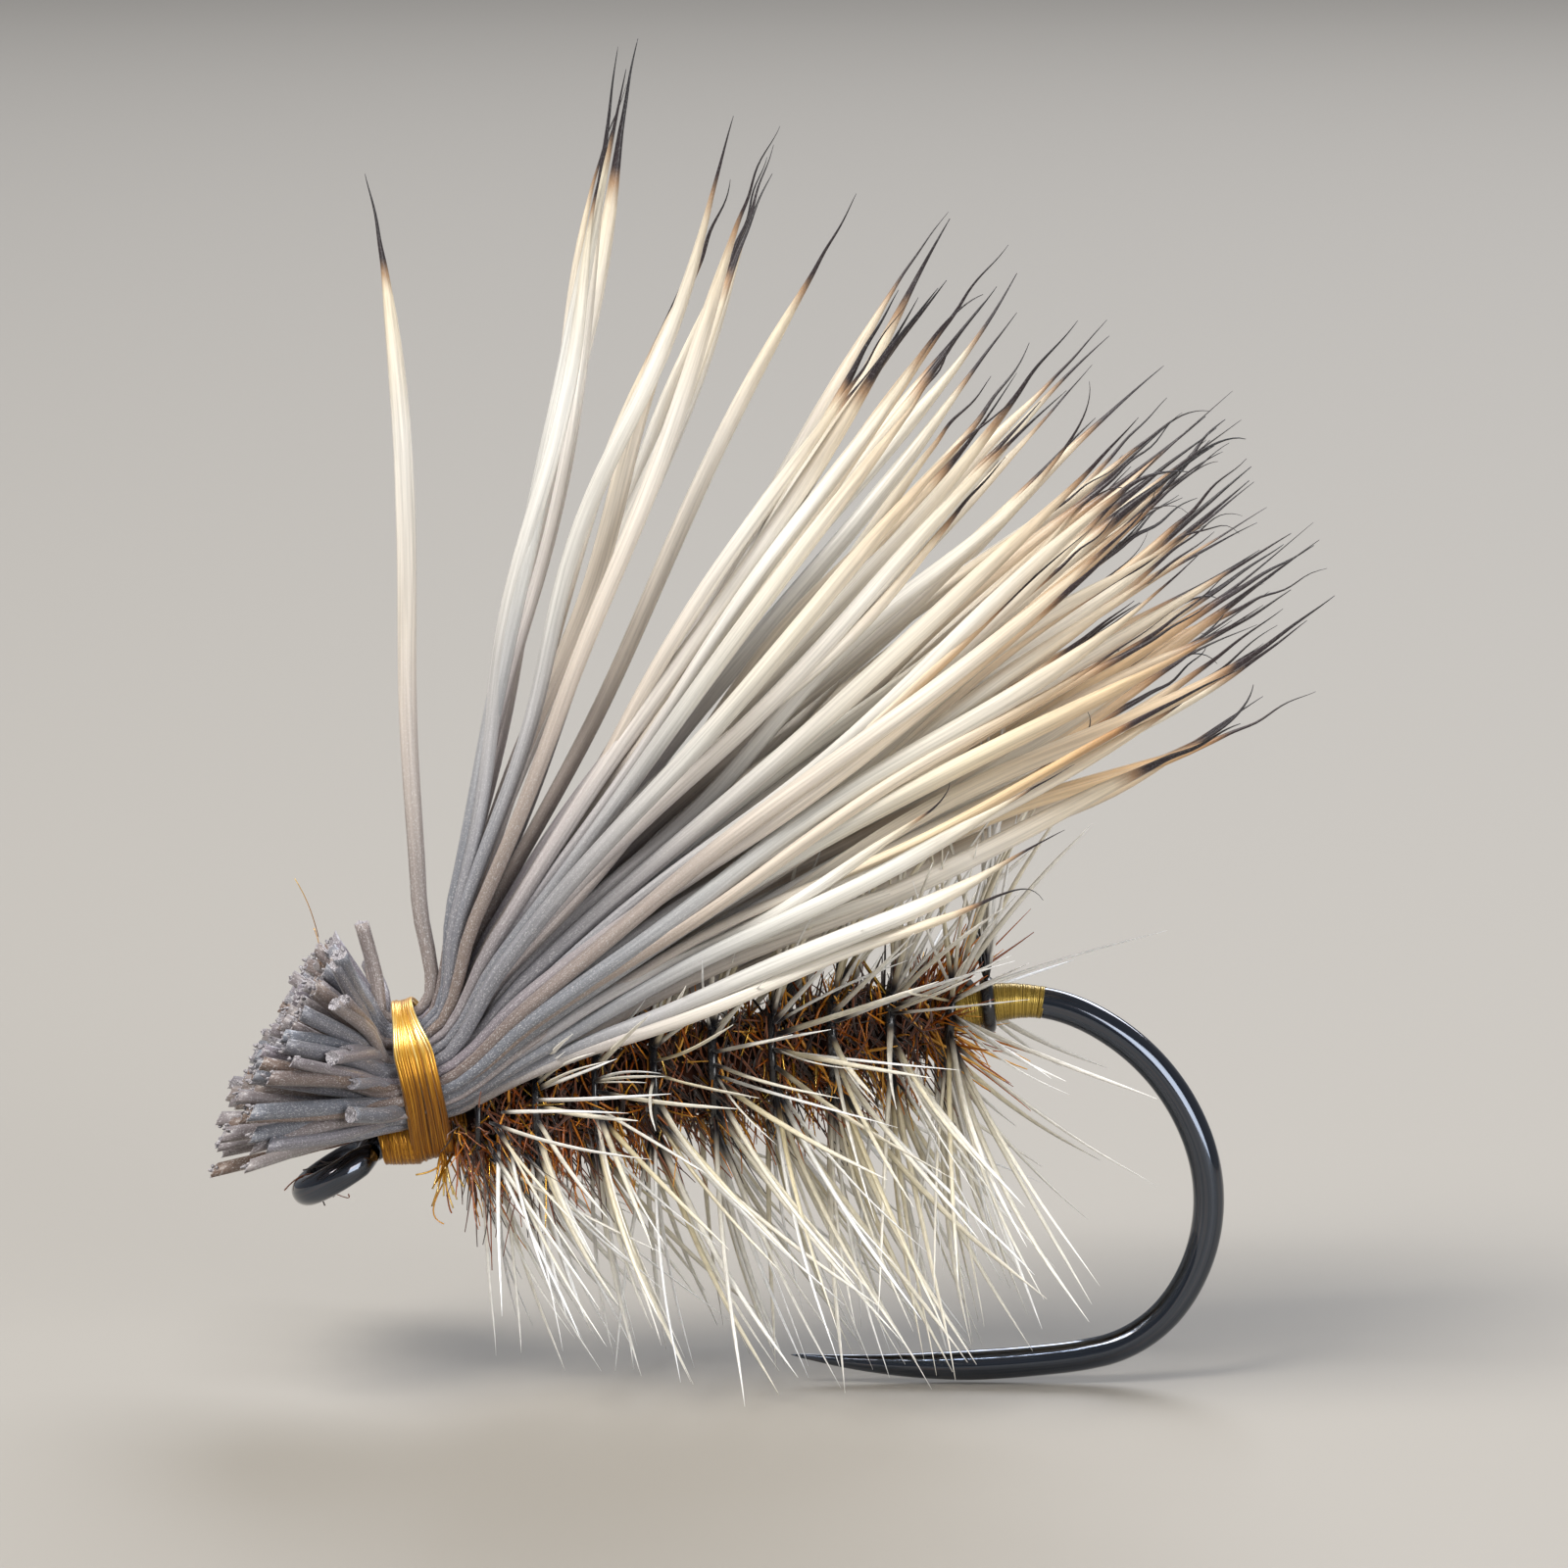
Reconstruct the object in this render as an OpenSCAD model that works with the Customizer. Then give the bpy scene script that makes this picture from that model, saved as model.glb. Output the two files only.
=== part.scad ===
// Elk-hair sedge dry fly, tied on a barbless down-eye hook.
// The fly stands nose-down, on the bottom of its hook's bend and on its front hackle tips.
// +X runs from the hook's eye to its bend, +Z is up, and -Y is the near side.
// The origin is under the middle of the fly, on the surface that it stands on.
// A place on the shank is [s, y, u]: along the shank, to the far side, and up from its centre line.

/* [Hook] */
// Diameter of the hook wire
wire_d = 0.42; // [0.40:0.01:0.44]
// Length of the straight shank, from the eye to the start of the bend
shank_len = 8.5; // [8.4:0.1:8.6]
// Height of the shank's front end above the surface
nose_height = 3.23; // [3.20:0.01:3.26]
// Angle by which the shank slopes down to the eye
shank_tilt = 13.2; // [13.0:0.1:13.4]
// Diameter of the wire where it is rolled into the eye
eye_wire_d = 0.40; // [0.38:0.01:0.42]
// Diameter of the hole through the eye
eye_bore_d = 0.70; // [0.66:0.01:0.72]
// Angle by which the eye hangs below the line of the shank
eye_droop = 24; // [20:1:28]

/* [Thread and dubbing] */
// Diameter over the layer of thread on the shank
base_d = 0.53; // [0.50:0.01:0.55]
// Diameter of the dubbed body at its fattest
body_d = 1.22; // [1.0:0.02:1.3]
// Width along the shank of the thread collar that holds the hair down
collar_w = 0.46; // [0.40:0.02:0.50]
// Thickness of the collar's wraps
collar_t = 0.09; // [0.06:0.01:0.12]

/* [Hackle] */
// Turns of the hackle feather along the body
hackle_turns = 9; // [9:1:9]
// Barbs in a full turn
turn_barbs = 26; // [18:1:30]
// Length of the longest barbs
barb_len = 4.25; // [3.8:0.05:4.5]
// Diameter of a barb at its root
barb_d = 0.085; // [0.07:0.005:0.10]
// Diameter of the feather's stem
stem_d = 0.12; // [0.08:0.01:0.14]

/* [Wing] */
// Length of the longest hairs, from the collar to their tips
wing_len = 14.0; // [13.4:0.1:14.4]
// Diameter of a hair at its fattest
hair_d = 0.27; // [0.22:0.01:0.28]
// Diameter of a hair where the thread squeezes it
squeezed_d = 0.12; // [0.10:0.01:0.12]

/* [Hidden] */
$fn = 48;

// The wing's rows of hair, from the shank up:
// [fan angle above +X, hairs in the row, side spread, share of the longest hair]
WING_ROWS = [
    [28.0, 6, 22, 0.96], [30.5, 9, 18, 0.97], [33.0, 11, 17, 0.99], [35.5, 12, 16, 1.00],
    [38.5, 12, 15, 1.00], [42.5, 11, 15, 0.97], [47.5, 10, 13, 0.93], [54.0, 8, 12, 0.93],
    [61.5, 6, 9, 0.92], [69.0, 6, 7, 0.91], [78.5, 3, 3, 0.96], [92.4, 1, 0, 0.79]
];
ROWS = len(WING_ROWS);

wire_r = wire_d / 2;
base_r = base_d / 2;
body_r = body_d / 2;
stem_r = stem_d / 2;
bore_r = eye_bore_d / 2;
eye_wire_r = eye_wire_d / 2;
// The eye's ring keeps a short straight land round its hole, this much inside the round of the wire
eye_land = 0.03;
eye_ring_r = bore_r + eye_wire_r - eye_land;
// The shank narrows into the eye's ring, and starts where it meets the round of the ring
neck_r = 0.75 * eye_wire_r;
neck_s = 0.18;
neck_len = 0.45;

// The bend turns the wire through these arcs, [radius, angle]; the last one carries the needle point
BEND_ARCS = [[2.0, 38], [3.0, 48], [2.4, 51], [1.75, 47], [13, 18]];
// Radius of the wire by distance from the very tip
NEEDLE = [[0, 0.012], [0.65, 0.40 * wire_r], [1.55, 0.78 * wire_r], [2.5, wire_r]];
bend_step = 8;

// Shank stations, measured from the eye
head_s = 0.16;
collar_s = 0.86;
body_s = 1.16;
body_end_s = 7.95;
first_turn_s = 1.72;
turn_pitch = 0.81;
// The thread ends this far round the first arc of the bend
band_angle = 19;

// The hair bundle under the collar
row_base_u = base_r + squeezed_d / 2 + 0.01;
row_pitch = 0.122;
hair_pitch = 0.126;
row_droop = 0.08;
bundle_r = 0.81;
bundle_u = 0.95;

// The butts are trimmed to one slanted plane, this far from the origin along its normal
trim_tilt = 150.5;
trim_reach = 8.28;

shank_dir = [cos(shank_tilt), 0, sin(shank_tilt)];
up_dir = [-sin(shank_tilt), 0, cos(shank_tilt)];
nose = [-5.57, 0, nose_height];

function unit(v) = v / norm(v);
function place(s, y, u) = nose + s * shank_dir + u * up_dir + [0, y, 0];
function heading(fan, side) = [cos(fan) * cos(side), sin(side), sin(fan) * cos(side)];
function mix(a, b, t) = a + (b - a) * t;
function bezier(a, b, c, d, t) =
    pow(1 - t, 3) * a + 3 * t * pow(1 - t, 2) * b + 3 * t * t * (1 - t) * c + pow(t, 3) * d;

// Radius of the body at a station: swollen in the middle, with rounded ends
function body_radius(s) =
    let (t = (s - body_s) / (body_end_s - body_s))
    base_r + (t <= 0 || t >= 1 ? 0 : (body_r - base_r) * sqrt(sin(180 * t)));

// ---------- strands: tapered tubes swept along a list of points ----------

function path_dir(path, i) = unit(path[min(i + 1, len(path) - 1)] - path[max(i - 1, 0)]);

function ring(centre, dir, r, sides) =
    let (
        across = abs(dir[1]) > 0.9 ? unit([0, 0, 1] - dir[2] * dir) : unit([0, 1, 0] - dir[1] * dir),
        other = cross(dir, across)
    )
    [for (k = [0:sides - 1]) centre + r * (cos(360 * k / sides) * across + sin(360 * k / sides) * other)];

function strand_points(path, radii, sides) =
    [for (i = [0:len(path) - 1]) each ring(path[i], path_dir(path, i), radii[i], sides)];

function strand_faces(rings, sides, first) = concat(
    [[for (k = [0:sides - 1]) first + k]],
    [for (i = [0:rings - 2], k = [0:sides - 1])
        let (a = first + i * sides + k, b = first + i * sides + (k + 1) % sides)
        each [[a, a + sides, b], [b, a + sides, b + sides]]],
    [[for (k = [sides - 1:-1:0]) first + (rings - 1) * sides + k]]
);

// Each strand is [path, radii]; all the strands of one call have the same number of rings
module strands(list, sides) {
    rings = len(list[0][0]);
    polyhedron(
        points = [for (s = list) each strand_points(s[0], s[1], sides)],
        faces = [for (n = [0:len(list) - 1]) each strand_faces(rings, sides, n * rings * sides)],
        convexity = 10
    );
}

// ---------- hook ----------

// Stands its children on the shank, with local +Z along the shank and local +X down
module on_shank(s) {
    translate(place(s, 0, 0)) rotate([0, 90 - shank_tilt, 0]) children();
}

// The ring of the eye lies in its own XY plane, with +X pointing back to the shank
module at_eye() {
    translate(nose) rotate([0, -shank_tilt - eye_droop, 0]) translate([-eye_ring_r, 0, 0]) children();
}

module eye_ring() {
    rotate_extrude() translate([eye_ring_r, 0]) circle(eye_wire_r);
}

// Points along an arc that starts at p, heading h above +X, and turns down
function arc_points(p, h, radius, angle) =
    let (n = ceil(angle / bend_step * max(1, radius / 6)))
    [for (i = [1:n]) let (to = h - angle * i / n)
        p + radius * [sin(h) - sin(to), 0, cos(to) - cos(h)]];

function bend_points(i, p, h) =
    i == len(BEND_ARCS) ? []
    : let (arc = arc_points(p, h, BEND_ARCS[i][0], BEND_ARCS[i][1]))
        concat(arc, bend_points(i + 1, arc[len(arc) - 1], h - BEND_ARCS[i][1]));

function length_left(path, i) =
    i >= len(path) - 1 ? 0 : norm(path[i + 1] - path[i]) + length_left(path, i + 1);

module hook_eye() {
    color("#1b1f24") at_eye() difference() {
        eye_ring();
        cylinder(h = 2 * eye_wire_d, r = bore_r, center = true);
    }
}

module hook_wire() {
    shank = [for (d = [neck_s, neck_len, shank_len / 2, shank_len]) place(d, 0, 0)];
    path = concat(shank, bend_points(0, place(shank_len, 0, 0), shank_tilt));
    radii = [for (i = [0:len(path) - 1]) i == 0 ? neck_r : lookup(length_left(path, i), NEEDLE)];
    color("#1b1f24") strands([[path, radii]], 16);
}

// ---------- thread ----------

module tube(h, outer_r, inner_r) {
    difference() {
        cylinder(h = h, r = outer_r);
        translate([0, 0, -1]) cylinder(h = h + 2, r = inner_r);
    }
}

// One close layer of thread over the bare shank, under everything else
module thread_base() {
    color("#8a5a1c") on_shank(collar_s - collar_w / 2)
        tube(body_end_s - collar_s + collar_w / 2, base_r, wire_r);
}

// The wraps that show behind the body, which run on to the start of the bend
module thread_rear_band() {
    color("#9a7a2c") {
        on_shank(body_end_s) tube(shank_len - body_end_s, base_r, wire_r);
        on_shank(shank_len) translate([BEND_ARCS[0][0], 0, 0]) rotate([90, 0, 180])
            rotate_extrude(angle = band_angle) translate([BEND_ARCS[0][0], 0])
                difference() {
                    circle(base_r);
                    circle(wire_r);
                }
    }
}

// Outline of the hair bundle and the shank together, grown by a margin
module bundle_outline(margin) {
    hull() {
        circle(base_r + margin);
        translate([-bundle_u, 0]) circle(bundle_r + margin);
    }
}

// The band of thread that binds the hair down on the shank
module thread_collar() {
    color("#a8701c") on_shank(collar_s - collar_w / 2) linear_extrude(collar_w) difference() {
        bundle_outline(collar_t);
        bundle_outline(0);
    }
}

// Wraps in front of the hair, ending in the whip finish behind the eye
module thread_head_wraps() {
    front_r = base_r + 0.02;
    back_r = base_r + 0.12;
    length = collar_s - collar_w / 2 - head_s;
    color("#a8701c") difference() {
        on_shank(head_s) cylinder(h = length, r1 = front_r, r2 = back_r);
        on_shank(-1) cylinder(h = length + 3, r = wire_r);
        at_eye() eye_ring();
    }
}

// The cut end of the thread under the collar
module thread_tag() {
    start = place(collar_s + 0.05, -0.12, -base_r - collar_t);
    path = [start, start + [0.05, -0.08, -0.25], start + [0.02, -0.20, -0.55]];
    color("#c8963a") strands([[path, [0.03, 0.035, 0.02]]], 6);
}

// ---------- dubbing ----------

module dubbing_body() {
    steps = 14;
    function station(i) = mix(body_s, body_end_s, i / steps);
    color("#5a2c12") on_shank(0) rotate_extrude()
        polygon(concat(
            [[base_r, body_s]],
            [for (i = [1:steps - 1]) [body_radius(station(i)), station(i)]],
            [[base_r, body_end_s]]
        ));
}

// ---------- hackle ----------

// A turn starts on top of the shank and goes over the far side, under, and up the near side
function radial(turn) = cos(turn) * up_dir + [0, sin(turn), 0];
function stem_s(turn) = first_turn_s + turn_pitch * turn / 360;
function stem_ride(turn) =
    max(body_radius(stem_s(turn) - stem_r), body_radius(stem_s(turn)), body_radius(stem_s(turn) + stem_r));
function on_stem(turn, lift) =
    place(stem_s(turn), 0, 0) + (stem_ride(turn) + 0.01 + lift) * radial(turn);

module hackle_stem() {
    step = 24;
    path = [for (turn = [-120:step:360 * (hackle_turns - 1) + 120]) on_stem(turn, stem_r)];
    color("#15161b") strands([[path, [for (p = path) stem_r]]], 5);
}

// The feather's barbs are short in front, and its last turn, at the tie-in, carries few
function turn_share(k) = k == 1 ? 0.62 : k == 2 ? 0.80 : k == 3 ? 0.92 : 1;
function barbs_on(k) = k == hackle_turns ? round(turn_barbs / 3) : turn_barbs;
// Under the wing, and on top, barbs are held down short
function top_share(k, turn) =
    let (top = max(0, cos(turn))) k <= 4 ? 1 - 0.62 * top : 1 - 0.25 * top;
// Barbs lean back towards the bend, most of all on top. The last turn's begin half a turn early,
// and stop where the stem does
function barb_lean(turn) = 8 + 16 * (1 + cos(turn));
floor_gap = 0.02;

function barb(k, i) =
    let (
        luck = rands(-1, 1, 4, 100 * k + i),
        share = (i + 0.5 + 0.35 * luck[0]) / barbs_on(k),
        turn = 360 * (k - 1) + (k == hackle_turns ? 300 * share - 180 : 360 * share),
        lean = barb_lean(turn) + 9 * luck[1],
        root = on_stem(turn, stem_d - 0.01),
        dir = cos(lean) * radial(turn) + sin(lean) * shank_dir,
        sweep = (0.10 + 0.06 * luck[2]) * shank_dir,
        free = barb_len * turn_share(k) * top_share(k, turn) * (0.96 + 0.10 * luck[3]),
        drop = -(dir + sweep)[2],
        length = drop > 0 ? min(free, (root[2] - floor_gap) / drop) : free,
        path = [for (t = [0, 0.33, 0.66, 1]) root + length * (t * dir + t * t * sweep)]
    )
    [path, barb_d / 2 * [1, 0.85, 0.6, 0.22]];

module hackle_barbs(k) {
    color("#cfc49e") strands([for (i = [0:barbs_on(k) - 1]) barb(k, i)], 3);
}

// ---------- wing ----------

// One hair runs from its trimmed butt, under the collar, to its fine tip
function butt_length(start, dir) =
    let (normal = heading(trim_tilt, 0))
    min(2.75, max(1.2, (trim_reach - start * normal) / (dir * normal)));

function hair(row, i) =
    let (
        fan = WING_ROWS[row][0],
        n = WING_ROWS[row][1],
        spread = WING_ROWS[row][2],
        luck = rands(-1, 1, 8, 1000 + 40 * row + i),
        side = n == 1 ? 0 : 2 * i / (n - 1) - 1,
        height = row / (ROWS - 1),
        y = side * (n - 1) / 2 * hair_pitch,
        u = row_base_u + row * row_pitch - row_droop * side * side,
        front = place(collar_s - collar_w / 2 - 0.02, y, u),
        back = place(collar_s + collar_w / 2 + 0.02, y, u),
        wing_dir = heading(fan + 2.0 * luck[0], spread * side + 1.5 * luck[1]),
        length = wing_len * (WING_ROWS[row][3] + 0.03 * luck[2]),
        tip = back + length * wing_dir,
        // Low hairs arch up and then droop, and the one that stands up bends back
        arch = cos(1.35 * fan),
        bow = [-sin(fan), 0, cos(fan)],
        near = mix(back, tip, 0.33) + (0.50 * arch + 0.25 * luck[3]) * bow + [0, 0.25 * luck[4], 0],
        far = mix(back, tip, 0.70) + (-0.25 * arch + 0.30 * luck[5]) * bow + [0, 0.30 * luck[6], 0],
        butt_dir = heading(mix(187, 128, pow(height, 0.9)) + 5 * luck[7], 46 * side + 5 * luck[3]),
        butt = front + butt_length(front, butt_dir) * butt_dir
    )
    [
        concat(
            [butt, mix(butt, front, 0.6), front, back],
            [for (t = [0.13, 0.36, 0.62, 0.84, 1]) bezier(back, near, far, tip, t)]
        ),
        concat(
            [hair_d / 2, 0.46 * hair_d, squeezed_d / 2, squeezed_d / 2],
            hair_d / 2 * [0.72, 0.92, 1.0, 0.62, 0.08]
        )
    ];

module wing_row(row) {
    color("#b8ada2") strands([for (i = [0:WING_ROWS[row][1] - 1]) hair(row, i)], 5);
}

// ---------- the fly ----------

hook_eye();
hook_wire();
thread_base();
thread_rear_band();
thread_collar();
thread_head_wraps();
thread_tag();
dubbing_body();
hackle_stem();
for (k = [1:hackle_turns])
    hackle_barbs(k);
for (k = [1:ROWS])
    wing_row(k - 1);
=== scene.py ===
# %% [markdown]
# # A dry fly with an elk hair wing
# A dry fly is hair, feather and thread, bound on one bent wire. Nothing on it is moulded or machined,
# so nearly everything here is one idea: a thin strand that tapers and follows a line.
# The CAD model says where every strand runs. We read those lines back from its meshes,
# and sweep finer, smoother and more natural strands along them.

import bmesh
import bpy
import numpy as np
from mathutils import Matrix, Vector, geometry


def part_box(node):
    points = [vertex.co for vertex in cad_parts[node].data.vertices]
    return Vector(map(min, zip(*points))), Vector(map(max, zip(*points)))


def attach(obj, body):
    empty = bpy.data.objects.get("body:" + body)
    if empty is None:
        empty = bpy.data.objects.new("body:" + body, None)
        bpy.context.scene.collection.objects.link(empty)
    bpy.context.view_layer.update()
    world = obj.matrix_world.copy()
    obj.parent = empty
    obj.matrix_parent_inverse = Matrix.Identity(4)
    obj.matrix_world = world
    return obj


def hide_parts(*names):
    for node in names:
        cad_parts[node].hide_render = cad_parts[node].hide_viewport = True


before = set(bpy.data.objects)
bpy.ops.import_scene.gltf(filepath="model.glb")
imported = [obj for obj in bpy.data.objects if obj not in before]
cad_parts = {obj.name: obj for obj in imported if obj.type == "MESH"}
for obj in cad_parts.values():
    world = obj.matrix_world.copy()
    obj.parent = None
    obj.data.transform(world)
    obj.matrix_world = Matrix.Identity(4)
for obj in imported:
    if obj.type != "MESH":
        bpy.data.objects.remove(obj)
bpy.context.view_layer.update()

MM = 0.001
SIDEWAYS = np.array([0.0, 1.0, 0.0])

# %% [markdown]
# ## The camera
# A fly is 15 mm long, so it is shot with a long macro lens from close by. A long lens keeps
# the near and far barbs almost the same size. It looks a little down on the fly, from its left side.

# %% Camera
# The lens and the sensor are in millimetres, as a lens maker gives them
LENS = 200.0
SENSOR = 36.0
FIELD = 20.96 * MM
TILT = np.radians(8.0)
AIM = np.array([0.0, 0.0, 8.16 * MM])


def new_object(name, data):
    item = bpy.data.objects.new(name, data)
    bpy.context.scene.collection.objects.link(item)
    return item


def add_camera():
    data = bpy.data.cameras.new("macro_lens")
    data.lens = LENS
    data.sensor_width = SENSOR
    data.clip_start = 1 * MM
    camera = new_object("camera", data)
    away = FIELD * LENS / SENSOR
    camera.location = AIM + away * np.array([0, -np.cos(TILT), np.sin(TILT)])
    camera.rotation_euler = (np.pi / 2 - TILT, 0, 0)
    bpy.context.scene.camera = camera
    print(f"camera {away / MM:.0f} mm away, field {FIELD / MM:.1f} mm")


add_camera()

# %% [markdown]
# ## Reading the strands back
# Each barb or hair of the CAD model is a tube of rings, all with the same number of corners.
# If we walk over a tube's edges from one end ring, each step reaches the next ring.
# The middle of a ring is a point of the strand's line, and its size is the strand's radius there.
# The CAD meshes could be shown as they are, but they have few sides and few bends, as a design needs.

# %% Strands of a CAD node


def layers_from(start, allowed):
    """Lists of vertices by how many edges they are from the start."""
    seen = set(start)
    layers = [list(start)]
    while layers[-1]:
        ring = {e.other_vert(v) for v in layers[-1] for e in v.link_edges}
        ring = {v for v in ring if v in allowed and v not in seen}
        seen |= ring
        layers.append(sorted(ring, key=lambda v: v.index))
    return layers[:-1]


def strands_of(node, sides):
    """The (points, radii) of each tube in a CAD node, from its thick end to its thin end."""
    mesh = bmesh.new()
    mesh.from_mesh(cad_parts[node].data)
    bmesh.ops.remove_doubles(mesh, verts=mesh.verts, dist=0.001 * MM)
    mesh.verts.index_update()
    left = dict.fromkeys(mesh.verts)
    strands = []
    while left:
        first = next(iter(left))
        walk = layers_from([first], left)
        tube = [v for layer in walk for v in layer]
        end = walk[-1][0]
        ring = sorted(tube, key=lambda v: (v.co - end.co).length)[:sides]
        rings = layers_from(ring, left)
        points = np.array([np.mean([v.co for v in r], axis=0) for r in rings])
        spans = [[np.linalg.norm(np.array(v.co) - p) for v in r] for r, p in zip(rings, points)]
        radii = np.array([np.mean(s) for s in spans])
        if radii[0] < radii[-1]:
            points, radii = points[::-1], radii[::-1]
        strands.append((points, radii))
        for v in tube:
            del left[v]
    mesh.free()
    return strands


wire_line, wire_radii = strands_of("hook_wire", 16)[0]
print("hook wire rings", len(wire_line), "thickest", round(2 * wire_radii.max() / MM, 3), "mm")

# %% [markdown]
# ## Smooth lines
# The CAD lines have few points. A cubic curve through them, with its slope at each point taken from
# the neighbours, gives the flowing line that a hair or a wire really has. Blender's own curves can do
# this too, but as plain numbers the points are easy to bend, fan out and twist afterwards.

# %% Smooth line through points


def unit(way):
    return way / np.linalg.norm(way)


def lengths_along(points):
    steps = np.linalg.norm(np.diff(points, axis=0), axis=1)
    return np.concatenate([[0], np.cumsum(steps)])


def smooth_at(points, where):
    """Points of a smooth curve through the given ones, at these lengths from its start."""
    at = lengths_along(points)
    slope = np.gradient(points, at, axis=0)
    i = np.clip(np.searchsorted(at, where, side="right") - 1, 0, len(at) - 2)
    h = (at[i + 1] - at[i])[:, None]
    u = (where - at[i])[:, None] / h
    ahead = u * u * (3 - 2 * u)
    leave = u * (1 - u) ** 2 * h * slope[i]
    arrive = u * u * (u - 1) * h * slope[i + 1]
    return (1 - ahead) * points[i] + ahead * points[i + 1] + leave + arrive


def smooth(points, count):
    return smooth_at(points, np.linspace(0, lengths_along(points)[-1], count))


def swing(points, pivot, axis, angle):
    """Turns points about an axis through the pivot."""
    away = points - pivot
    axis = unit(axis)
    along = (away @ axis)[:, None] * axis
    return pivot + along + np.cos(angle) * (away - along) + np.sin(angle) * np.cross(axis, away)


def ease(x, low, high):
    """0 below low, 1 above high, and a smooth step between."""
    t = np.clip((x - low) / (high - low), 0, 1)
    return t * t * (3 - 2 * t)


# %% [markdown]
# ## Stations on the wire
# A fly tyer thinks in stations along the hook's wire. For any station and angle round the wire,
# we can give a point at some distance from its centre. Angle 0 is on top, and it turns to the far side.
# Thread, fur and feather are all wound round this wire, so the same few functions place all three.

# %% Places round the wire
WIRE = smooth(wire_line, 900)
WIRE_AT = lengths_along(WIRE)
WIRE_DIR = np.gradient(WIRE, WIRE_AT, axis=0)
SHANK_DIR = unit(WIRE_DIR[5])
SHANK_UP = np.cross(SHANK_DIR, SIDEWAYS)


def wire_point(s, table=WIRE):
    return np.stack([np.interp(s, WIRE_AT, table[:, k]) for k in range(3)], axis=-1)


def round_wire(s, angle, radius):
    """Points at stations s, at angles round the wire, and radius from its centre line."""
    s, angle, radius = np.broadcast_arrays(s, angle, radius)
    ahead = wire_point(s, WIRE_DIR)
    ahead /= np.linalg.norm(ahead, axis=-1, keepdims=True)
    up = np.cross(ahead, SIDEWAYS)
    out = np.cos(angle)[..., None] * up + np.sin(angle)[..., None] * SIDEWAYS
    return wire_point(s) + radius[..., None] * out


def on_shank(points):
    """Points as [station, to the far side, up] from the front of the shank."""
    away = points - wire_line[0]
    return np.stack([away @ SHANK_DIR, away @ SIDEWAYS, away @ SHANK_UP], axis=1)


def corners_of(node):
    return on_shank(np.array([v.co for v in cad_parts[node].data.vertices], float))


def girth_of(node):
    """Stations and radii of a CAD node that is round the shank."""
    place = corners_of(node)
    stations = np.round(place[:, 0], 6)
    radii = np.hypot(place[:, 1], place[:, 2])
    found = sorted(set(stations))
    return np.array(found), np.array([radii[stations == s].max() for s in found])


print("wire length", round(WIRE_AT[-1] / MM, 2), "mm")

# %% [markdown]
# ## Sweeping a strand
# One function makes every strand's skin: rings of corners square to the line, joined by quads.
# A curve with a round bevel makes tubes too, but it cannot store our own numbers on each corner, and
# the materials need them. "along" runs from one end to the other. "luck" and "tone" are one number
# each for the whole strand, so no two have quite the same colour. "grain" is where the corner would
# be if the strand were laid out straight, in millimetres, so that a streak follows every curl.

# %% Strand mesh
# Shares of a strand's own radius
STEEPEST_CUT = 1.5
PITH_DEPTH = 0.35
PITH_WIDTH = 0.74


def turned_frames(points):
    """Two directions square to the line at each point, turning as little as they can."""
    ahead = np.gradient(points, axis=0)
    ahead /= np.maximum(np.linalg.norm(ahead, axis=1, keepdims=True), 1e-12)
    start = np.cross(ahead[0], SIDEWAYS if abs(ahead[0][1]) < 0.9 else [0, 0, 1])
    across = [unit(start)]
    for way in ahead[1:]:
        kept = across[-1] - np.dot(across[-1], way) * way
        across.append(kept / max(np.linalg.norm(kept), 1e-12))
    across = np.array(across)
    return ahead, across, np.cross(ahead, across)


def strand(points, radii, along=None, flat=1.0, twist=0.0, luck=0.5, tone=0.0, rough=0.0, cut=None):
    """What sweep() needs to know about one strand."""
    if along is None:
        along = np.linspace(0, 1, len(points))
    return dict(points=points, radii=np.broadcast_to(radii, len(points)), along=along, flat=flat,
                twist=twist, luck=luck, tone=tone, rough=rough, cut=cut)


def skin_of(s, sides):
    """Corners and grain of one strand, as rings of points."""
    points, radii, luck = s["points"], s["radii"][:, None], s["luck"]
    ahead, across, other = turned_frames(points)
    turn = 2 * np.pi * np.arange(sides) / sides
    spin = np.linspace(0, s["twist"], len(points))[:, None]
    lobes = 1 + s["rough"] * (np.cos(2 * turn + 40 * luck) + np.cos(3 * turn + 90 * luck))
    x = radii * np.cos(turn) * lobes
    y = radii * np.sin(turn) * lobes * s["flat"]
    side = x * np.cos(spin) - y * np.sin(spin)
    lift = x * np.sin(spin) + y * np.cos(spin)
    rings = points[:, None] + side[..., None] * across[:, None] + lift[..., None] * other[:, None]
    if s["cut"] is not None:
        # The end ring slides along the strand on to the plane of the cut
        slope = (rings[0] - points[0]) @ s["cut"] / (ahead[0] @ s["cut"])
        slope = np.clip(slope, -STEEPEST_CUT * radii[0], STEEPEST_CUT * radii[0])
        rings[0] -= slope[:, None] * ahead[0]
    length = np.broadcast_to(lengths_along(points)[:, None], side.shape)
    # Each strand takes its streaks from its own place in the noise
    return rings, np.stack([side, lift, length], axis=-1) / MM + 37.0 * luck


def open_end(rings, s):
    """Tears the first ring's rim, and gives the sunk pith inside it: a ring, and then its middle."""
    sides = len(rings[0])
    torn = np.random.default_rng(int(1e6 * s["luck"])).normal(0, 0.10 * s["radii"][0], sides)
    rings[0] += torn[:, None] * unit(rings[0].mean(axis=0) - rings[1].mean(axis=0))
    middle = rings[0].mean(axis=0)
    sink = PITH_DEPTH * s["radii"][0] * unit(rings[2].mean(axis=0) - middle)
    return np.vstack([middle + PITH_WIDTH * (rings[0] - middle) + 0.3 * sink, middle + sink])


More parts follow.
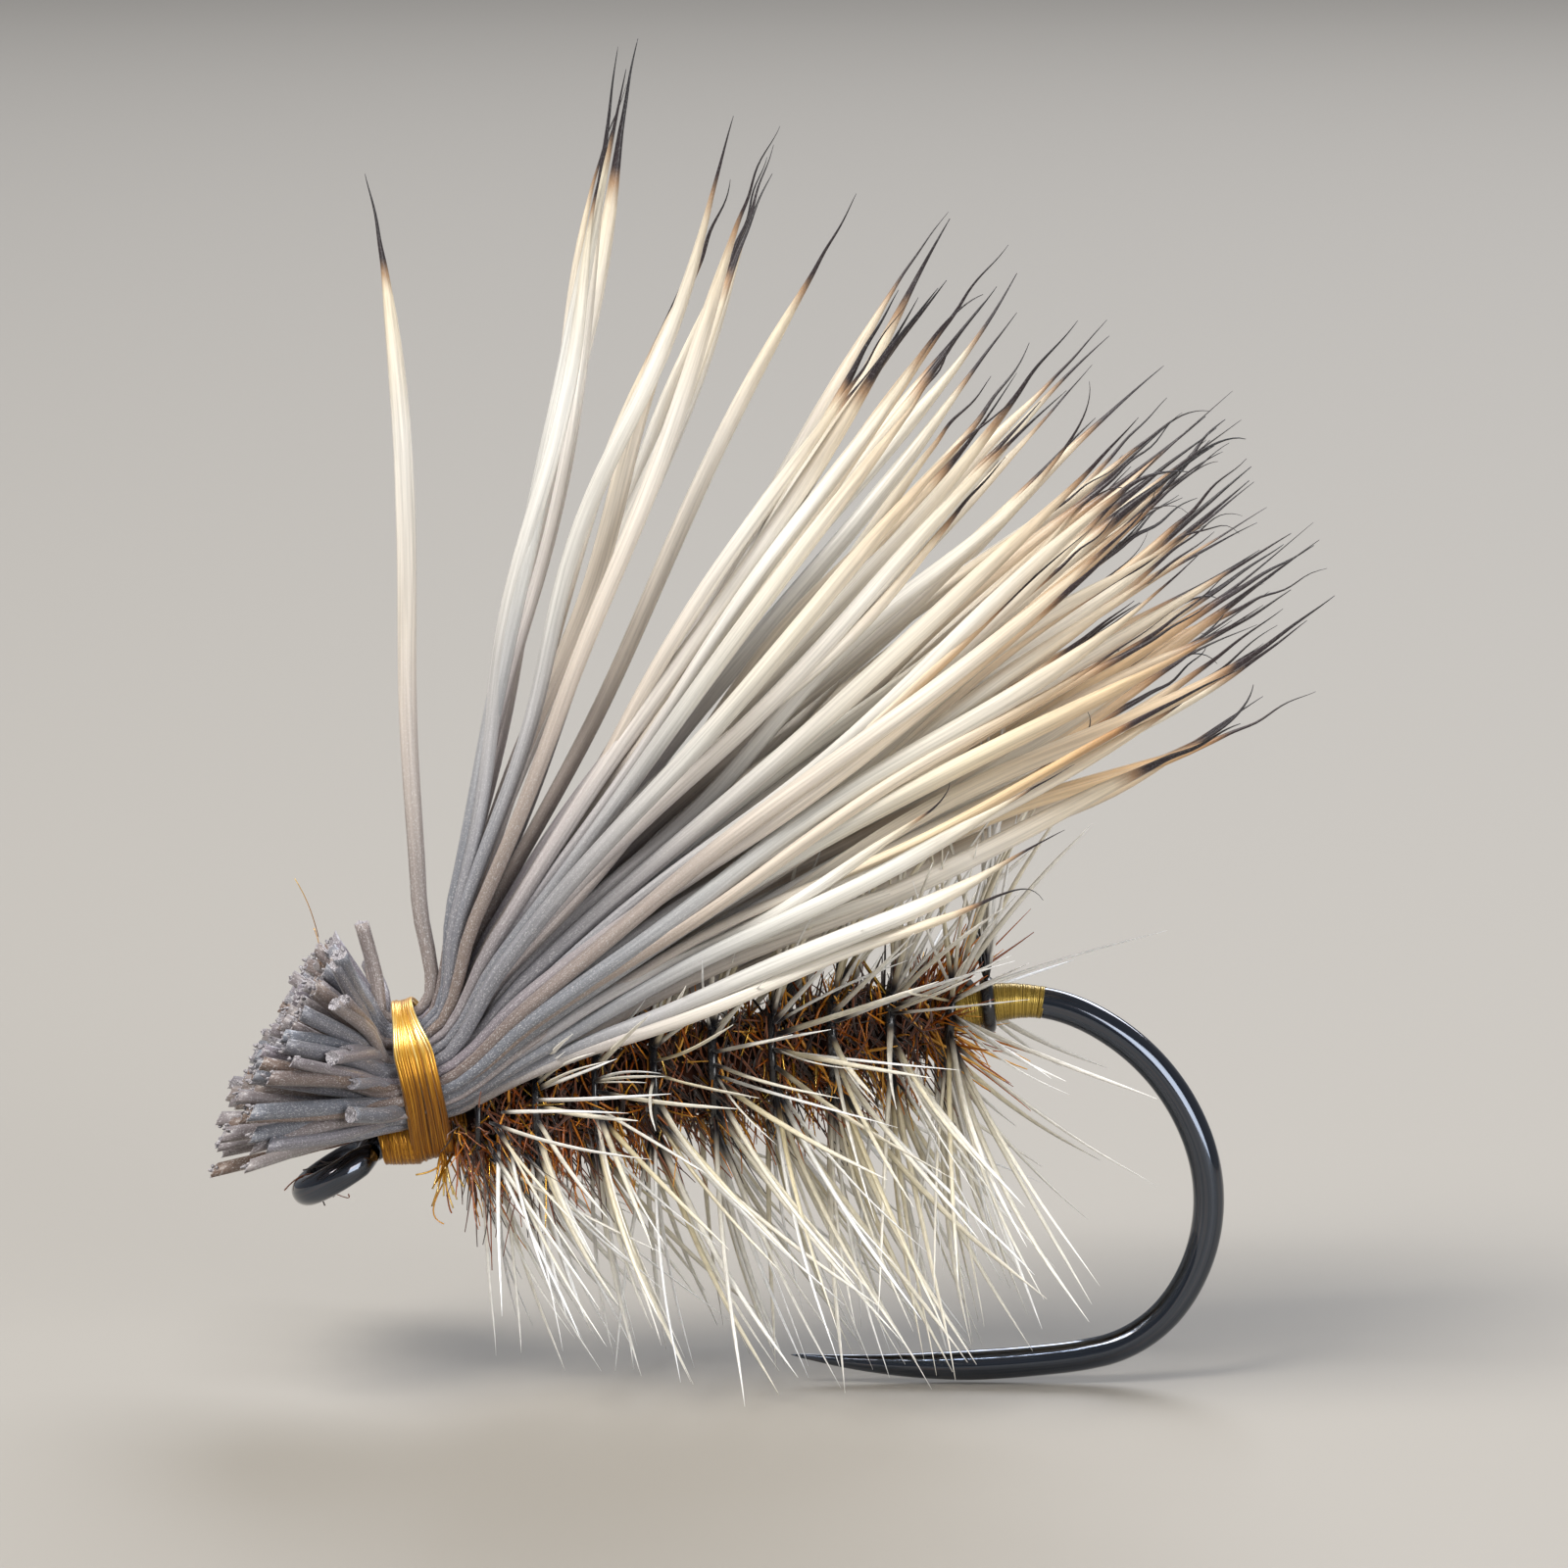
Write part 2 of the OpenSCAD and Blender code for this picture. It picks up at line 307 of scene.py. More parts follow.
def store(mesh, label, values):
    """Keeps a number or a point for each corner, where the materials can read it."""
    values = np.asarray(values, np.float32)
    kind, field = ("FLOAT", "value") if values.ndim == 1 else ("FLOAT_VECTOR", "vector")
    mesh.attributes.new(label, kind, "POINT").data.foreach_set(field, values.ravel())


def tube_faces(count, sides, first=0):
    """The walls and the far end of a tube of rings, and then its near end."""
    turn = np.arange(sides)
    start = first + sides * np.arange(count - 1)[:, None]
    a, b = start + turn, start + (turn + 1) % sides
    quads = np.stack([a, b, b + sides, a + sides], axis=-1).reshape(-1, 4).tolist()
    far_end = (start[-1] + sides + turn).tolist()
    return quads + [far_end], (first + turn)[::-1].tolist()


def sweep(name, strands, sides, materials, replaces=(), end_material=None):
    """Makes one piece out of many strands, and puts it on the fly."""
    verts, faces, grain, along, luck, tone, ends = [], [], [], [], [], [], []
    first = 0
    for s in strands:
        rings, laid = skin_of(s, sides)
        total = len(rings) * sides
        walls, near_end = tube_faces(len(rings), sides, first)
        faces += walls
        grain.append(laid.reshape(-1, 3))
        along.append(np.repeat(s["along"], sides))
        if end_material is None:
            faces.append(near_end)
            verts.append(rings.reshape(-1, 3))
        else:
            pith = open_end(rings, s)
            verts += [rings.reshape(-1, 3), pith]
            grain += [laid[0], laid[0].mean(axis=0)[None]]
            along.append(np.full(sides + 1, s["along"][0]))
            inner = first + total
            for k in range(sides):
                n = (k + 1) % sides
                ends += [len(faces), len(faces) + 1]
                faces.append([first + n, first + k, inner + k, inner + n])
                faces.append([inner + n, inner + k, inner + sides])
            total += sides + 1
        luck.append(np.full(total, s["luck"]))
        tone.append(np.full(total, s["tone"]))
        first += total
    mesh = bpy.data.meshes.new(name)
    mesh.from_pydata(np.vstack(verts), [], faces)
    for label, values in (("along", along), ("luck", luck), ("tone", tone), ("grain", grain)):
        store(mesh, label, np.concatenate(values))
    mesh.polygons.foreach_set("use_smooth", [True] * len(faces))
    for material in materials:
        mesh.materials.append(material)
    for f in ends:
        mesh.polygons[f].material_index = end_material
        mesh.polygons[f].use_smooth = False
    put_on(mesh, replaces)


def put_on(mesh, replaces=()):
    """Makes a piece of a mesh, fixes it to the fly's body, hides the CAD parts it takes the place of, and
    prints its corners.
    """
    piece = new_object(mesh.name, mesh)
    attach(piece, "root")
    if replaces:
        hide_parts(*replaces)
    print(f"{mesh.name}: {len(mesh.vertices)} corners")


# %% [markdown]
# ## Colours and nodes
# Colours are written as screen colours, and one function turns them to the linear light that the
# renderer works in. One more small function adds a shader node with its settings and its links.

# %% Colour and node helpers


def linear(text):
    parts = [int(text[i : i + 2], 16) / 255 for i in (1, 3, 5)]
    light = [c / 12.92 if c <= 0.04045 else ((c + 0.055) / 1.055) ** 2.4 for c in parts]
    return (*light, 1.0)


def add(tree, kind, settings=None, links=None):
    """Adds a node. A setting is one of its own, the stops of a ramp, or the value of an input."""
    node = tree.nodes.new("ShaderNode" + kind)
    for name, value in (settings or {}).items():
        if name == "stops":
            ramp = node.color_ramp.elements
            while len(ramp) < len(value):
                ramp.new(1.0)
            for stop, (place, shade) in zip(ramp, value):
                stop.position = place
                stop.color = linear(shade)
        elif isinstance(name, str) and hasattr(node, name):
            setattr(node, name, value)
        else:
            node.inputs[name].default_value = value
    for name, source in (links or {}).items():
        tree.links.new(source, node.inputs[name])
    return node


def new_material(name, settings):
    """A material with one main shader, and the tree that it is in."""
    material = bpy.data.materials.new(name)
    material.use_nodes = True
    tree = material.node_tree
    tree.nodes.clear()
    shader = add(tree, "BsdfPrincipled", settings)
    add(tree, "OutputMaterial", links={"Surface": shader.outputs[0]})
    return material, tree, shader


def grain_noise(tree, wide, long, detail=3.0):
    """Noise laid along a strand, with streaks this wide and this long in millimetres."""
    laid = add(tree, "Attribute", {"attribute_name": "grain"})
    scale = (1 / wide, 1 / wide, 1 / long)
    sized = add(tree, "Mapping", {"Scale": scale}, {"Vector": laid.outputs["Vector"]})
    return add(tree, "TexNoise", {"Scale": 1.0, "Detail": detail}, {"Vector": sized.outputs[0]}).outputs[0]


# %% [markdown]
# ## Black nickel hook wire
# The hook is high carbon steel wire, drawn through dies, bent, hardened, and plated with black nickel.
# The plating is a dark blue-grey mirror. Drawing leaves very fine lines along the wire, and the
# plating is a touch uneven, so the reflections have slightly soft, streaky edges. Noise stretched
# along the wire draws those lines. An image could too, but it would repeat, and need a file.

# %% Black nickel


def make_black_nickel():
    material, tree, shader = new_material("black_nickel_plated_steel", {
        "Metallic": 1.0, "Roughness": 0.1, "Coat Weight": 0.7, "Coat Roughness": 0.04})
    # Die lines are a few thousandths of a millimetre apart, so they are drawn coarser, to show at all
    lines = grain_noise(tree, 0.03, 2.5)
    stops = [(0.30, "#3a424e"), (0.55, "#4b515c"), (0.75, "#5e5658")]
    tint = add(tree, "ValToRGB", {"stops": stops}, {0: lines})
    tree.links.new(tint.outputs[0], shader.inputs["Base Color"])
    gloss = add(tree, "MapRange", {3: 0.05, 4: 0.17}, {0: lines})
    tree.links.new(gloss.outputs[0], shader.inputs["Roughness"])
    bump = add(tree, "Bump", {"Strength": 0.25, "Distance": 0.002 * MM}, {"Height": lines})
    tree.links.new(bump.outputs[0], shader.inputs["Normal"])
    return material


BLACK_NICKEL = make_black_nickel()

# %% [markdown]
# ## The hook
# A dry-fly hook is one fine wire. The CAD line gives the shank, the round bend and the needle point,
# and the smooth curve through it takes away the corners. At the front the wire is rolled into the eye:
# it leaves the shank, goes round once, and its narrowed end closes against the shank. A cylinder could
# be bent to this shape, but rings swept along the line stay square to the wire all the way round.

# %% Hook wire and eye
WIRE_SIDES = 28


def make_hook_wire():
    at = WIRE_AT[::2]
    radii = np.interp(at, lengths_along(wire_line), wire_radii)
    radii = np.convolve(np.pad(radii, 6, mode="edge"), np.ones(13) / 13, mode="valid")
    radii[-3:] = np.array([0.6, 0.4, 0.12]) * radii[-4]
    sweep("hook_shank_and_bend", [strand(WIRE[::2], radii)], WIRE_SIDES, [BLACK_NICKEL],
          ["hook_wire"])


def make_hook_eye():
    low, high = (np.array(c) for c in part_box("hook_eye"))
    wire_r = 0.2 * MM
    ring_r = (high[1] - low[1]) / 2 - wire_r
    middle = (low + high) / 2
    back = wire_line[0] - middle
    back[1] = 0
    back = unit(back)
    turn = np.radians(np.linspace(4, 352, 90))
    loop = middle + ring_r * (np.cos(turn)[:, None] * back + np.sin(turn)[:, None] * SIDEWAYS)
    lead = wire_line[0] + SHANK_DIR * 0.5 * MM
    join = middle + (ring_r + 0.12 * MM) * back
    line = np.vstack([lead, join, loop])
    sizes = [0.15 * MM, 0.17 * MM, wire_r, wire_r, 0.12 * MM]
    radii = np.interp(np.arange(len(line)), [0, 1, 12, 80, 92], sizes)
    sweep("hook_eye_loop", [strand(line, radii)], WIRE_SIDES, [BLACK_NICKEL], ["hook_eye"])


make_hook_wire()
make_hook_eye()

# %% [markdown]
# ## Golden silk thread
# Tying silk is many fine filaments that lie side by side with little twist, so it flattens into a
# glossy ribbon when it is wound. Light runs across the filaments and flashes pale gold where they
# face it, and it turns deep brown where they dive between the wraps. The filaments are too fine to
# model one by one, so they are noise, 0.012 mm wide and long along the thread.

# %% Silk thread


def make_silk(name, shades):
    material, tree, shader = new_material(name, {
        "Roughness": 0.26, "Metallic": 0.6, "Sheen Weight": 0.2, "Sheen Roughness": 0.4})
    # Filaments are about 0.012 mm wide
    filaments = grain_noise(tree, 0.012, 0.9)
    luck = add(tree, "Attribute", {"attribute_name": "luck"})
    shift = add(tree, "Math", {"operation": "MULTIPLY_ADD", 1: 0.35, 2: -0.17}, {0: luck.outputs["Fac"]})
    place = add(tree, "Math", {"operation": "ADD"}, {0: filaments, 1: shift.outputs[0]})
    # "along" shifts the ramp: at the collar it paints a highlight near the top and shade lower down, and
    # each other band takes one tone of its own
    sheen_and_tone = add(tree, "Attribute", {"attribute_name": "along"})
    sheen_and_tone_shift = add(tree, "Math", {"operation": "MULTIPLY_ADD", 1: 0.5, 2: -0.28}, {0: sheen_and_tone.outputs["Fac"]})
    place = add(tree, "Math", {"operation": "ADD"}, {0: place.outputs[0], 1: sheen_and_tone_shift.outputs[0]})
    stops = list(zip((0.25, 0.45, 0.62, 0.8), shades))
    tint = add(tree, "ValToRGB", {"stops": stops}, {0: place.outputs[0]})
    tree.links.new(tint.outputs[0], shader.inputs["Base Color"])
    bump = add(tree, "Bump", {"Strength": 0.4, "Distance": 0.004 * MM}, {"Height": filaments})
    tree.links.new(bump.outputs[0], shader.inputs["Normal"])
    return material


SILK = make_silk("golden_tying_silk", ["#8e5a12", "#cf9328", "#edbb50", "#f8e3a2"])
# Behind the body there is only one thin layer of silk, and the dark wire shows through it
THIN_SILK = make_silk("thin_silk_over_dark_wire", ["#6b5720", "#a1873a", "#c7a852", "#ecd587"])

# %% [markdown]
# ## Wound thread
# A band could be a sleeve with a striped bump, but its edges would be too clean. So each band is one
# long helix of thread, as on the real hook. The wraps wander a little and ride over each other.

# %% Thread bands


def helix(start, end, girth, pitch, seed, thread_r, lean=0.0):
    """A thread wound round the wire from one station to another, over a girth in metres."""
    luck = np.random.default_rng(seed)
    turns = abs(end - start) / pitch
    count = int(turns * 22) + 2
    angle = np.linspace(0, 2 * np.pi * turns, count)
    knots = np.arange(0, angle[-1] + 6, 3.1)
    wander = np.interp(angle, knots, luck.normal(0, 0.35, len(knots)))
    s = np.linspace(start, end, count) + wander * pitch * 0.5 + lean * np.cos(angle)
    return round_wire(s, angle, girth(s) + thread_r * (0.55 + 0.35 * wander))


def silk_band(name, node, pitch, thread_r, seed, layers, start, end, girth, sheen_and_tone, silk=SILK):
    pieces = []
    for k in range(layers):
        way = (start, end) if k % 2 == 0 else (end, start)
        line = helix(*way, girth, pitch * (1 + 0.13 * k) * MM, seed + k, thread_r * MM, 0.012 * MM * k)
        shade = 0.2 + 0.6 * (0.37 * k % 1)
        pieces.append(strand(line, thread_r * MM, np.full(len(line), sheen_and_tone), 0.62, luck=shade))
    sweep(name, pieces, 6, [silk], [node])


def make_thread_bands():
    base_s, base_r = girth_of("thread_base")
    shank_end = base_s[-1]
    silk_band("silk_base_layer", "thread_base", 0.062, 0.034, 5, 1, base_s[0], shank_end,
              lambda s: np.full_like(s, base_r.max() - 0.04 * MM), 0.3)
    band_end = shank_end + (corners_of("thread_rear_band")[:, 0].max() - shank_end) * 1.02

    def rear_girth(s):
        return base_r.max() - 0.02 * MM - 0.05 * MM * ease(s, band_end - 0.8 * MM, band_end)

    silk_band("silk_rear_band", "thread_rear_band", 0.024, 0.020, 11, 2, shank_end, band_end,
              rear_girth, 0.6, THIN_SILK)
    head_s, head_r = girth_of("thread_head_wraps")
    front_r = head_r[head_s < head_s[0] + 0.1 * MM].max()

    def head_girth(s):
        return np.interp(s, [head_s[0], head_s[-1]], [front_r, head_r.max()]) - 0.03 * MM

    silk_band("silk_head_wraps", "thread_head_wraps", 0.04, 0.024, 23, 3, head_s[0], head_s[-1],
              head_girth, 0.2)


make_thread_bands()

# %% [markdown]
# ## The collar
# Here the thread is pulled down hard over the hair bundle. It goes round an egg-shaped outline,
# small under the shank and wide over the hair. One smooth band would look like a metal ferrule, so
# each wrap is a strand of its own along that outline. The middle of the band is tightest, so the wraps
# there sit a little lower. A highlight near its top and shade towards its bottom are painted into its
# colour.

# %% Collar


def collar_outline():
    """The CAD collar's outer outline, as [far, up] from the shank's centre line, evenly spaced."""
    place = corners_of("thread_collar")
    flat = [tuple(p) for p in place[:, 1:]]
    hull = [flat[i] for i in geometry.convex_hull_2d(flat)]
    hull.append(hull[0])
    hull = np.array(hull)
    at = lengths_along(hull)
    where = np.linspace(0, at[-1], 121)[:-1]
    loop = np.stack([np.interp(where, at, hull[:, k]) for k in (0, 1)], axis=1)
    return place[:, 0].min(), place[:, 0].max(), loop


def make_collar():
    luck = np.random.default_rng(31)
    front, rear, loop = collar_outline()
    out = loop - loop.mean(axis=0)
    out /= np.linalg.norm(out, axis=1, keepdims=True)
    turn = np.linspace(0, 2 * np.pi, len(loop), endpoint=False)
    facing_up = np.cos(turn - turn[np.argmax(loop[:, 1])])
    # Flaring hair crowds the band on top, and it spreads out below
    width = (rear - front) * (1.12 - 0.56 * ease(facing_up, 0.35, 1.0))
    middle_s = (front + rear) / 2 + (0.08 * (1 - facing_up**2) + 0.02 * facing_up) * MM
    # Painted highlight where the band turns over the shoulder of the hair, and painted shade that darkens
    # it towards the bottom
    low = (1 - facing_up) / 2
    sheen_and_tone = 0.55 + 0.45 * np.exp(-(((low - 0.17) / 0.10) ** 2)) - 0.42 * ease(low, 0.28, 0.6)
    sheen_and_tone = np.append(sheen_and_tone, sheen_and_tone[:2])
    strands = []
    for count, sunk, thread_r in [(13, 0.030, 0.030), (21, 0.0, 0.020)]:
        for k in range(count):
            across = (k + 0.5) / count
            a, b = luck.uniform(0, 6.28, 2)
            wander = 0.012 * np.sin(turn + a) + 0.005 * np.sin(3 * turn + b)
            s = middle_s + width * (across - 0.5) + wander * MM
            waist = 0.020 * np.sin(np.pi * across)
            lift = luck.normal(0, 0.003) + 0.004 * np.sin(2 * turn + a) - waist - sunk
            ring = loop + out * lift[:, None] * MM
            line = wire_line[0] + s[:, None] * SHANK_DIR + ring[:, :1] * SIDEWAYS + ring[:, 1:] * SHANK_UP
            line = np.vstack([line, line[:2]])
            strands.append(strand(line, thread_r * MM, sheen_and_tone, 0.7, luck=luck.uniform(0.25, 0.75)))
    sweep("silk_collar", strands, 6, [SILK], ["thread_collar"])


make_collar()

# %% [markdown]
# ## Elk hair
# Elk body hair is hollow and flares when it is squeezed. The skin end is slate grey with pale flecks,
# the middle is cream, a tan band comes near the tip, and the tip itself is black and hard.
# The surface is waxy, with fine streaks along the hair. The colour follows "along", so a ramp with a
# stop for each of those bands paints every hair, and "luck" and "tone" shift it from hair to hair.

# %% Elk hair material


def make_elk_hair():
    material, tree, shader = new_material("elk_body_hair", {
        "Roughness": 0.4, "Specular IOR Level": 0.5, "Sheen Weight": 0.15, "Sheen Roughness": 0.35})
    along = add(tree, "Attribute", {"attribute_name": "along"})
    luck = add(tree, "Attribute", {"attribute_name": "luck"})
    tone = add(tree, "Attribute", {"attribute_name": "tone"})
    streaks = grain_noise(tree, 0.03, 1.6)
    cloudy = grain_noise(tree, 0.25, 1.2)
    moved = add(tree, "Math", {"operation": "MULTIPLY_ADD", 1: 0.05, 2: -0.025}, {0: cloudy})
    spread = add(tree, "Math", {"operation": "MULTIPLY_ADD", 1: 0.07, 2: -0.035}, {0: luck.outputs["Fac"]})
    place = add(tree, "Math", {"operation": "ADD"}, {0: along.outputs["Fac"], 1: moved.outputs[0]})
    place = add(tree, "Math", {"operation": "ADD"}, {0: place.outputs[0], 1: spread.outputs[0]})
    pale = [(0.0, "#938e91"), (0.17, "#a39fa0"), (0.32, "#c3bebb"), (0.47, "#e2ddd4"), (0.70, "#f1eee6"),
            (0.86, "#e6dac2"), (0.887, "#a98a6c"), (0.905, "#2c2226"), (1.0, "#16161a")]
    warm = [(0.0, "#8d8687"), (0.15, "#9a9493"), (0.30, "#b9b1aa"), (0.46, "#ded6c8"), (0.64, "#ecd9b6"),
            (0.80, "#dfba88"), (0.875, "#ad7f50"), (0.90, "#33252a"), (1.0, "#16161a")]
    cool_ramp = add(tree, "ValToRGB", {"stops": pale}, {0: place.outputs[0]})
    warm_ramp = add(tree, "ValToRGB", {"stops": warm}, {0: place.outputs[0]})
    hue = add(tree, "Mix", {"data_type": "RGBA"},
              {0: tone.outputs["Fac"], 6: cool_ramp.outputs[0], 7: warm_ramp.outputs[0]})
    # Neighbouring hairs lean to blue-grey or to brown, most of all near the skin end
    tints = [(0.0, "#b9c6d2"), (0.3, "#dfe0e6"), (0.5, "#bfa58e"), (0.72, "#f2eee9"), (1.0, "#c9c4cf")]
    lean = add(tree, "ValToRGB", {"stops": tints}, {0: luck.outputs["Fac"]})
    fade = add(tree, "MapRange", {1: 0.05, 2: 0.65, 3: 1.0, 4: 0.25}, {0: along.outputs["Fac"]})
    leaned = add(tree, "Mix", {"data_type": "RGBA", "blend_type": "MULTIPLY"},
                 {0: fade.outputs[0], 6: hue.outputs[2], 7: lean.outputs[0]})
    shade = add(tree, "MapRange", {1: 0.3, 2: 0.7, 3: 0.78, 4: 1.14}, {0: streaks})
    streaked = add(tree, "Mix", {"data_type": "RGBA", "blend_type": "MULTIPLY", 0: 1.0},
                   {6: leaned.outputs[2], 7: shade.outputs[0]})
    # A frosting of pale flecks about 0.013 mm across, thickest on the grey part
    flecks = grain_noise(tree, 0.013, 0.028, 1.0)
    found = add(tree, "MapRange", {1: 0.56, 2: 0.70}, {0: flecks})
    grey = add(tree, "MapRange", {1: 0.10, 2: 0.50, 3: 0.50, 4: 0.1}, {0: along.outputs["Fac"]})
    amount = add(tree, "Math", {"operation": "MULTIPLY"}, {0: found.outputs[0], 1: grey.outputs[0]})
    dotted = add(tree, "Mix", {"data_type": "RGBA", 7: linear("#dcdbdc")},
                 {0: amount.outputs[0], 6: streaked.outputs[2]})
    tree.links.new(dotted.outputs[2], shader.inputs["Base Color"])
    gloss = add(tree, "MapRange", {3: 0.26, 4: 0.55}, {0: streaks})
    tree.links.new(gloss.outputs[0], shader.inputs["Roughness"])
    bump = add(tree, "Bump", {"Strength": 0.6, "Distance": 0.006 * MM}, {"Height": streaks})
    tree.links.new(bump.outputs[0], shader.inputs["Normal"])
    return material


def make_pith():
    material, tree, shader = new_material("cut_hair_pith", {"Roughness": 0.8, "Specular IOR Level": 0.3})
    # The cells of the pith are about 0.02 mm across
    cells = grain_noise(tree, 0.02, 0.02)
    stops = [(0.35, "#6f6b6f"), (0.5, "#989498"), (0.7, "#c9c6c9")]
    tint = add(tree, "ValToRGB", {"stops": stops}, {0: cells})
    tree.links.new(tint.outputs[0], shader.inputs["Base Color"])
    bump = add(tree, "Bump", {"Strength": 0.8, "Distance": 0.01 * MM}, {"Height": cells})
    tree.links.new(bump.outputs[0], shader.inputs["Normal"])
    return material


ELK_HAIR = make_elk_hair()
PITH = make_pith()

# %% [markdown]
# ## The wing and the trimmed head
# Each hair is one strand from its cut butt, under the collar, to its black tip. The CAD line has nine
# points: two for the butt, two under the collar, and five for the wing. To that we add what a hair
# does by itself: a slow wave, a lean towards its neighbours, and a thin tip that crinkles or hooks.
# Blender's hair particles would be quicker, but here every hair has a place of its own, and a cut
# end. All the butts were cut with one snip, so their end faces lie close to one plane.

# %% Wing hairs
ROWS = 12
# Rows are counted from the lowest up. Nine make the fan, and those over it are lone hairs
LOW_ROWS = 2
FAN_ROWS = 9
COLLAR_KNOT = 3
# How far along the wing, and the radius there in millimetres
WING_SHAPE = [(0.0, 0.066), (0.03, 0.086), (0.12, 0.104), (0.35, 0.122), (0.60, 0.136), (0.74, 0.126),
              (0.83, 0.098), (0.885, 0.064), (0.92, 0.040), (0.96, 0.022), (1.0, 0.006)]
BLACK_FROM = 0.88
BROKEN_END = 0.05 * MM
# The hairs nearest to the viewer in their row, whose sides run from -1 to 1
NEAR_SIDE = -0.6


def scissor_plane(rows):
    """The direction square to the plane that fits the butts' cut ends."""
    ends = np.array([points[0] for row in rows for points, _ in row])
    return np.linalg.svd(ends - ends.mean(axis=0))[2][2]


def hair_line(knots, luck, neighbour, clump):
    """A natural hair: its points, and how far along the wing each is. The butt is below 0."""
    at = lengths_along(knots)
    collar = at[COLLAR_KNOT]
    wing = at[-1] - collar
    w = np.concatenate([np.linspace(0, BLACK_FROM, 34)[1:], np.linspace(BLACK_FROM, 1, 16)[1:]])
    where = np.concatenate([np.linspace(0, collar, 15), collar + w * wing])
    points = smooth_at(knots, where)
    w = (where - collar) / wing
    free = ease(w, 0.04, 0.5)
    points = points + (clump * ease(w, 0.25, 0.85))[:, None] * (smooth_at(neighbour, where) - points)
    axis = unit(knots[-1] - knots[COLLAR_KNOT])
    lift = np.cross(axis, SIDEWAYS)
    for way in (lift, SIDEWAYS):
        size = luck.uniform(0.04, 0.15) * MM
        wave = np.sin(2 * np.pi * (w * luck.uniform(0.9, 2.1) + luck.uniform()))
        points += (free * size * wave)[:, None] * way
    tip = np.clip((w - BLACK_FROM) / (1 - BLACK_FROM), 0, 1)
    # Most tips are nearly straight needles, and about one in six ends in a hook
    hook, late = luck.choice([-1, 1]) * luck.uniform(0.0, 0.13), 1.6
    if luck.uniform() < 0.16:
        hook, late = luck.choice([-1, 1]) * luck.uniform(0.25, 0.6), luck.uniform(2.5, 5.0)
    bent = lift * np.cos(luck.uniform(0, 1.2)) + SIDEWAYS * np.sin(luck.uniform(-1.2, 1.2))
    points += (hook * MM * tip**late)[:, None] * bent
    points -= (0.5 * abs(hook) * MM * tip ** (late + 1))[:, None] * axis
    crinkle = luck.choice([0.004, 0.010, 0.026]) * MM
    wiggle = crinkle * np.sin(tip * luck.uniform(6, 13) + luck.uniform(0, 6)) * ease(tip, 0.0, 0.5)
    points += wiggle[:, None] * (lift if luck.uniform() < 0.7 else SIDEWAYS)
    return points, w


def hair_radii(w, thick, butt_r, wiry):
    shares, sizes = zip(*WING_SHAPE)
    wing = np.interp(w, shares, sizes) * MM * thick * (1 - wiry * ease(w, 0.78, 0.92))
    butt = np.interp(w, [-0.16, -0.05, -0.02], [butt_r, butt_r * 0.94, sizes[0] * MM])
    return np.where(w < 0, butt, wing)


def splayed(knots, luck, side, lift):
    """Bends a butt: most only a little, the outer ones out to their own side, the top ones up."""
    front = knots[2]
    way = swing(knots[:1], front, SIDEWAYS, lift)[0] - front
    size = np.linalg.norm(way)
    way = way / size + luck.normal(0, 0.055, 3)
    outer = abs(side) > 0.7 and luck.uniform() < 0.38
    if outer:
        way = unit(way) + luck.uniform(0.25, 0.7) * np.sign(side) * SIDEWAYS
        way += np.array([0.0, 0.0, luck.normal(0.12, 0.22)])
        size = luck.uniform(1.25, 2.1) * MM
    else:
        size += luck.uniform(-0.13, 0.10) * MM
    way = unit(way)
    knots = knots.copy()
    knots[0] = front + size * way
    knots[1] = front + 0.42 * size * way + 0.05 * MM * luck.normal(0, 1, 3)
    return knots, outer


def fanned(knots, angle, share):
    """Tips a wing hair up or down at the collar, and makes it longer or shorter."""
    root = knots[COLLAR_KNOT]
    tipped = swing(knots[COLLAR_KNOT + 1 :], root, SIDEWAYS, angle)
    return np.vstack([knots[: COLLAR_KNOT + 1], root + share * (tipped - root)])


def placed(knots, luck, k, side, twin):
    """Gives one hair of row k, or its twin, its own place. A twin lies beside it, and is shorter."""
    bent, outer = splayed(knots, luck, side, 0.13 * max(0, k - FAN_ROWS + 1))
    if k < LOW_ROWS:
        bent = fanned(bent, luck.normal(0, 0.02), 0.77 if side < NEAR_SIDE else luck.uniform(0.9, 1.0))
    elif k < FAN_ROWS:
        # Hairs do not lie in rows: each one comes out at its own height
        bent = fanned(bent, luck.normal(0, 0.038), luck.uniform(0.93, 1.02))
    shift = luck.normal(0, 0.06, 3) * MM * twin
    bent = bent + shift
    if twin:
        short = luck.uniform(0.86, 0.97) * (1 + luck.normal(0, 0.030, 3))
        root = bent[COLLAR_KNOT]
        bent[COLLAR_KNOT + 1 :] = root + short * (bent[COLLAR_KNOT + 1 :] - root)
        # More are broken off behind the collar in the upper rows, and of those only the butt shows
        if luck.uniform() < (0.35 if k < 5 else 0.78):
            bent = bent[: COLLAR_KNOT + 1]
    return bent, outer, shift


